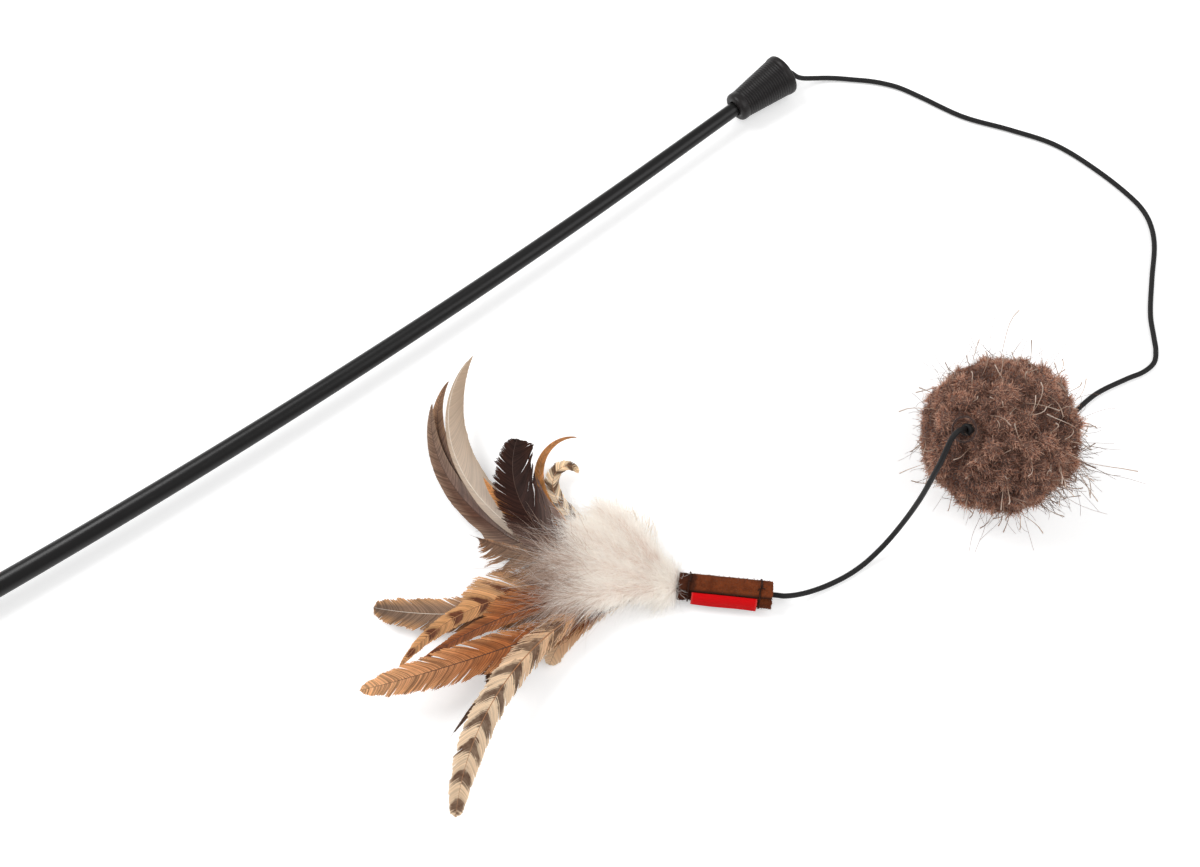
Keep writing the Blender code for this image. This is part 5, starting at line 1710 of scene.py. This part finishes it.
# Painted shade: greyer down for the long strands on the fluff's lower side.
lower_shade_finish = strand_finish(
    "shaded_down", dye(220, 204, 193), dye(190, 166, 151), dye(160, 132, 113), 0.3, 0.8, 0.1, 0.35, 0.5
)


def down_mesh(name, length, index):
    """The plume's soft core: flat below and full above, with the comb along its heading."""
    stations = 26
    around = 14
    start = BUNDLE_END + TOUCH_GAP
    heading = DOWN_FIRST_HEADING + index * DOWN_SPREAD
    column = (index - (len(DOWN_PLUMES) - 1) / 2) * DOWN_COLUMN_PITCH
    ahead = level(heading)
    side = Vector((-ahead.y, ahead.x, 0))
    shape = bmesh.new()
    comb = shape.verts.layers.float_vector.new("comb")
    puff = shape.verts.layers.float.new("puff")
    bunch = shape.verts.layers.float.new("bunch")
    rings = []
    for i in range(stations + 1):
        share = i / stations
        centre = Vector((start, column, 0)) + ahead * length * share
        full = math.sin(math.pi * min(max((share - 0.06) / 0.94, 0), 1) ** 0.85) ** 0.7
        sector = DOWN_COLUMN_PITCH / 2 + length * share * math.tan(math.radians(DOWN_SPREAD / 2))
        half_width = max(min(DOWN_WIDTH / 2 * full, sector), 0.0004) * 0.8
        thickness = max(DOWN_THICKNESS * full, 0.0004) * 0.7
        ring = []
        for j in range(around):
            angle = 2 * math.pi * j / around
            across, lift = math.cos(angle), 0.5 + 0.5 * math.sin(angle)
            spot = centre + side * across * half_width
            bottom = row_height(ROW_COUNT, spot.x, spot.y) - QUILL_THICKNESS / 2
            vert = shape.verts.new(lure_point(spot.x, spot.y, bottom + lift * thickness))
            vert[comb] = LURE_PLACE.to_3x3() @ (ahead + side * across * 0.5)
            vert[puff] = 1.0
            vert[bunch] = ease((share - 0.45) / 0.35)
            ring.append(vert)
        rings.append(ring)
    close_rings(shape, rings)
    return mesh_from(name, shape)


def collar_mesh():
    """A short ring over the binding, from which the shortest down spreads."""
    shape = bmesh.new()
    comb = shape.verts.layers.float_vector.new("comb")
    puff = shape.verts.layers.float.new("puff")
    rings = []
    for x, radius in COLLAR_RINGS:
        ring = []
        for j in range(COLLAR_SIDES):
            angle = 2 * math.pi * j / COLLAR_SIDES
            outward = Vector((0, math.cos(angle), math.sin(angle)))
            vert = shape.verts.new(lure_point(x, *(outward * radius).yz))
            vert[comb] = LURE_PLACE.to_3x3() @ (Vector((1.1, 0, 0)) + outward * 0.7)
            vert[puff] = 1.0
            ring.append(vert)
        rings.append(ring)
    close_rings(shape, rings)
    return mesh_from("fluff_collar", shape)


SHORT_DOWN = dict(length_spread=0.6, material=down_finish)
fluffs = []
for index, (name, length) in enumerate(DOWN_PLUMES):
    core_mesh = down_mesh("fluff_core_" + name, length, index)
    fluffs.append((name, add_piece("fluff_core_" + name, core_mesh, down_finish)))
    hairs = grow(
        "fluff_" + name, core_mesh.copy(), pile_strands,
        density=1.5e7, seed=40 + index, length=0.0085, stand=0.40, comb=1.0, scatter=0.5,
        clump=0.9, clump_size=0.004, curl=0.5, sweep=0.1, wave=0.002, wave_size=0.003,
        width=0.00009, tip=0.3, **SHORT_DOWN,
    )
    wisps = grow(
        "wisps_" + name, core_mesh.copy(), pile_strands,
        density=7.0e5, seed=60 + index, length=0.0180, length_spread=0.7, stand=0.22, comb=1.4,
        scatter=0.4, clump=0.7, clump_size=0.006, curl=0.6, sweep=0.2, wave=0.005, wave_size=0.005,
        hook=0.003, width=0.00012, tip=0.3, material=down_finish,
    )
    fluffs += [(name, hairs), (name, wisps)]
for index, (name, length) in enumerate(DOWN_PLUMES):
    # Painted shade: the lower and front plumes get long greyer strands towards their ends.
    if name in LOWER_SHADE_PLUMES:
        grey = grow(
            "grey_fluff_" + name, down_mesh("grey_fluff_" + name, length, index), pile_strands,
            density=3.0e4, bunching=130.0, seed=80 + index, length=0.0210, length_spread=0.6,
            stand=0.16, comb=1.3, scatter=0.45, clump=0.6, clump_size=0.005, curl=0.45, sweep=0.2,
            wave=0.005, wave_size=0.004, width=0.00012, tip=0.3, material=lower_shade_finish,
        )
        fluffs.append((name, grey))
collar_core_mesh = collar_mesh()
fluffs.append(("back", add_piece("fluff_collar_core", collar_core_mesh, down_finish)))
collar = grow(
    "fluff_collar", collar_core_mesh.copy(), pile_strands,
    density=2.6e7, seed=50, length=0.0080, stand=0.6, comb=0.8, scatter=0.6, clump=0.8,
    clump_size=0.003, curl=0.6, sweep=0.2, wave=0.002, wave_size=0.003, width=0.00010, tip=0.3,
    **SHORT_DOWN,
)
for name, piece in fluffs + [("back", collar)]:
    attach(piece, "lure")
    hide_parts("down_plume_" + name)
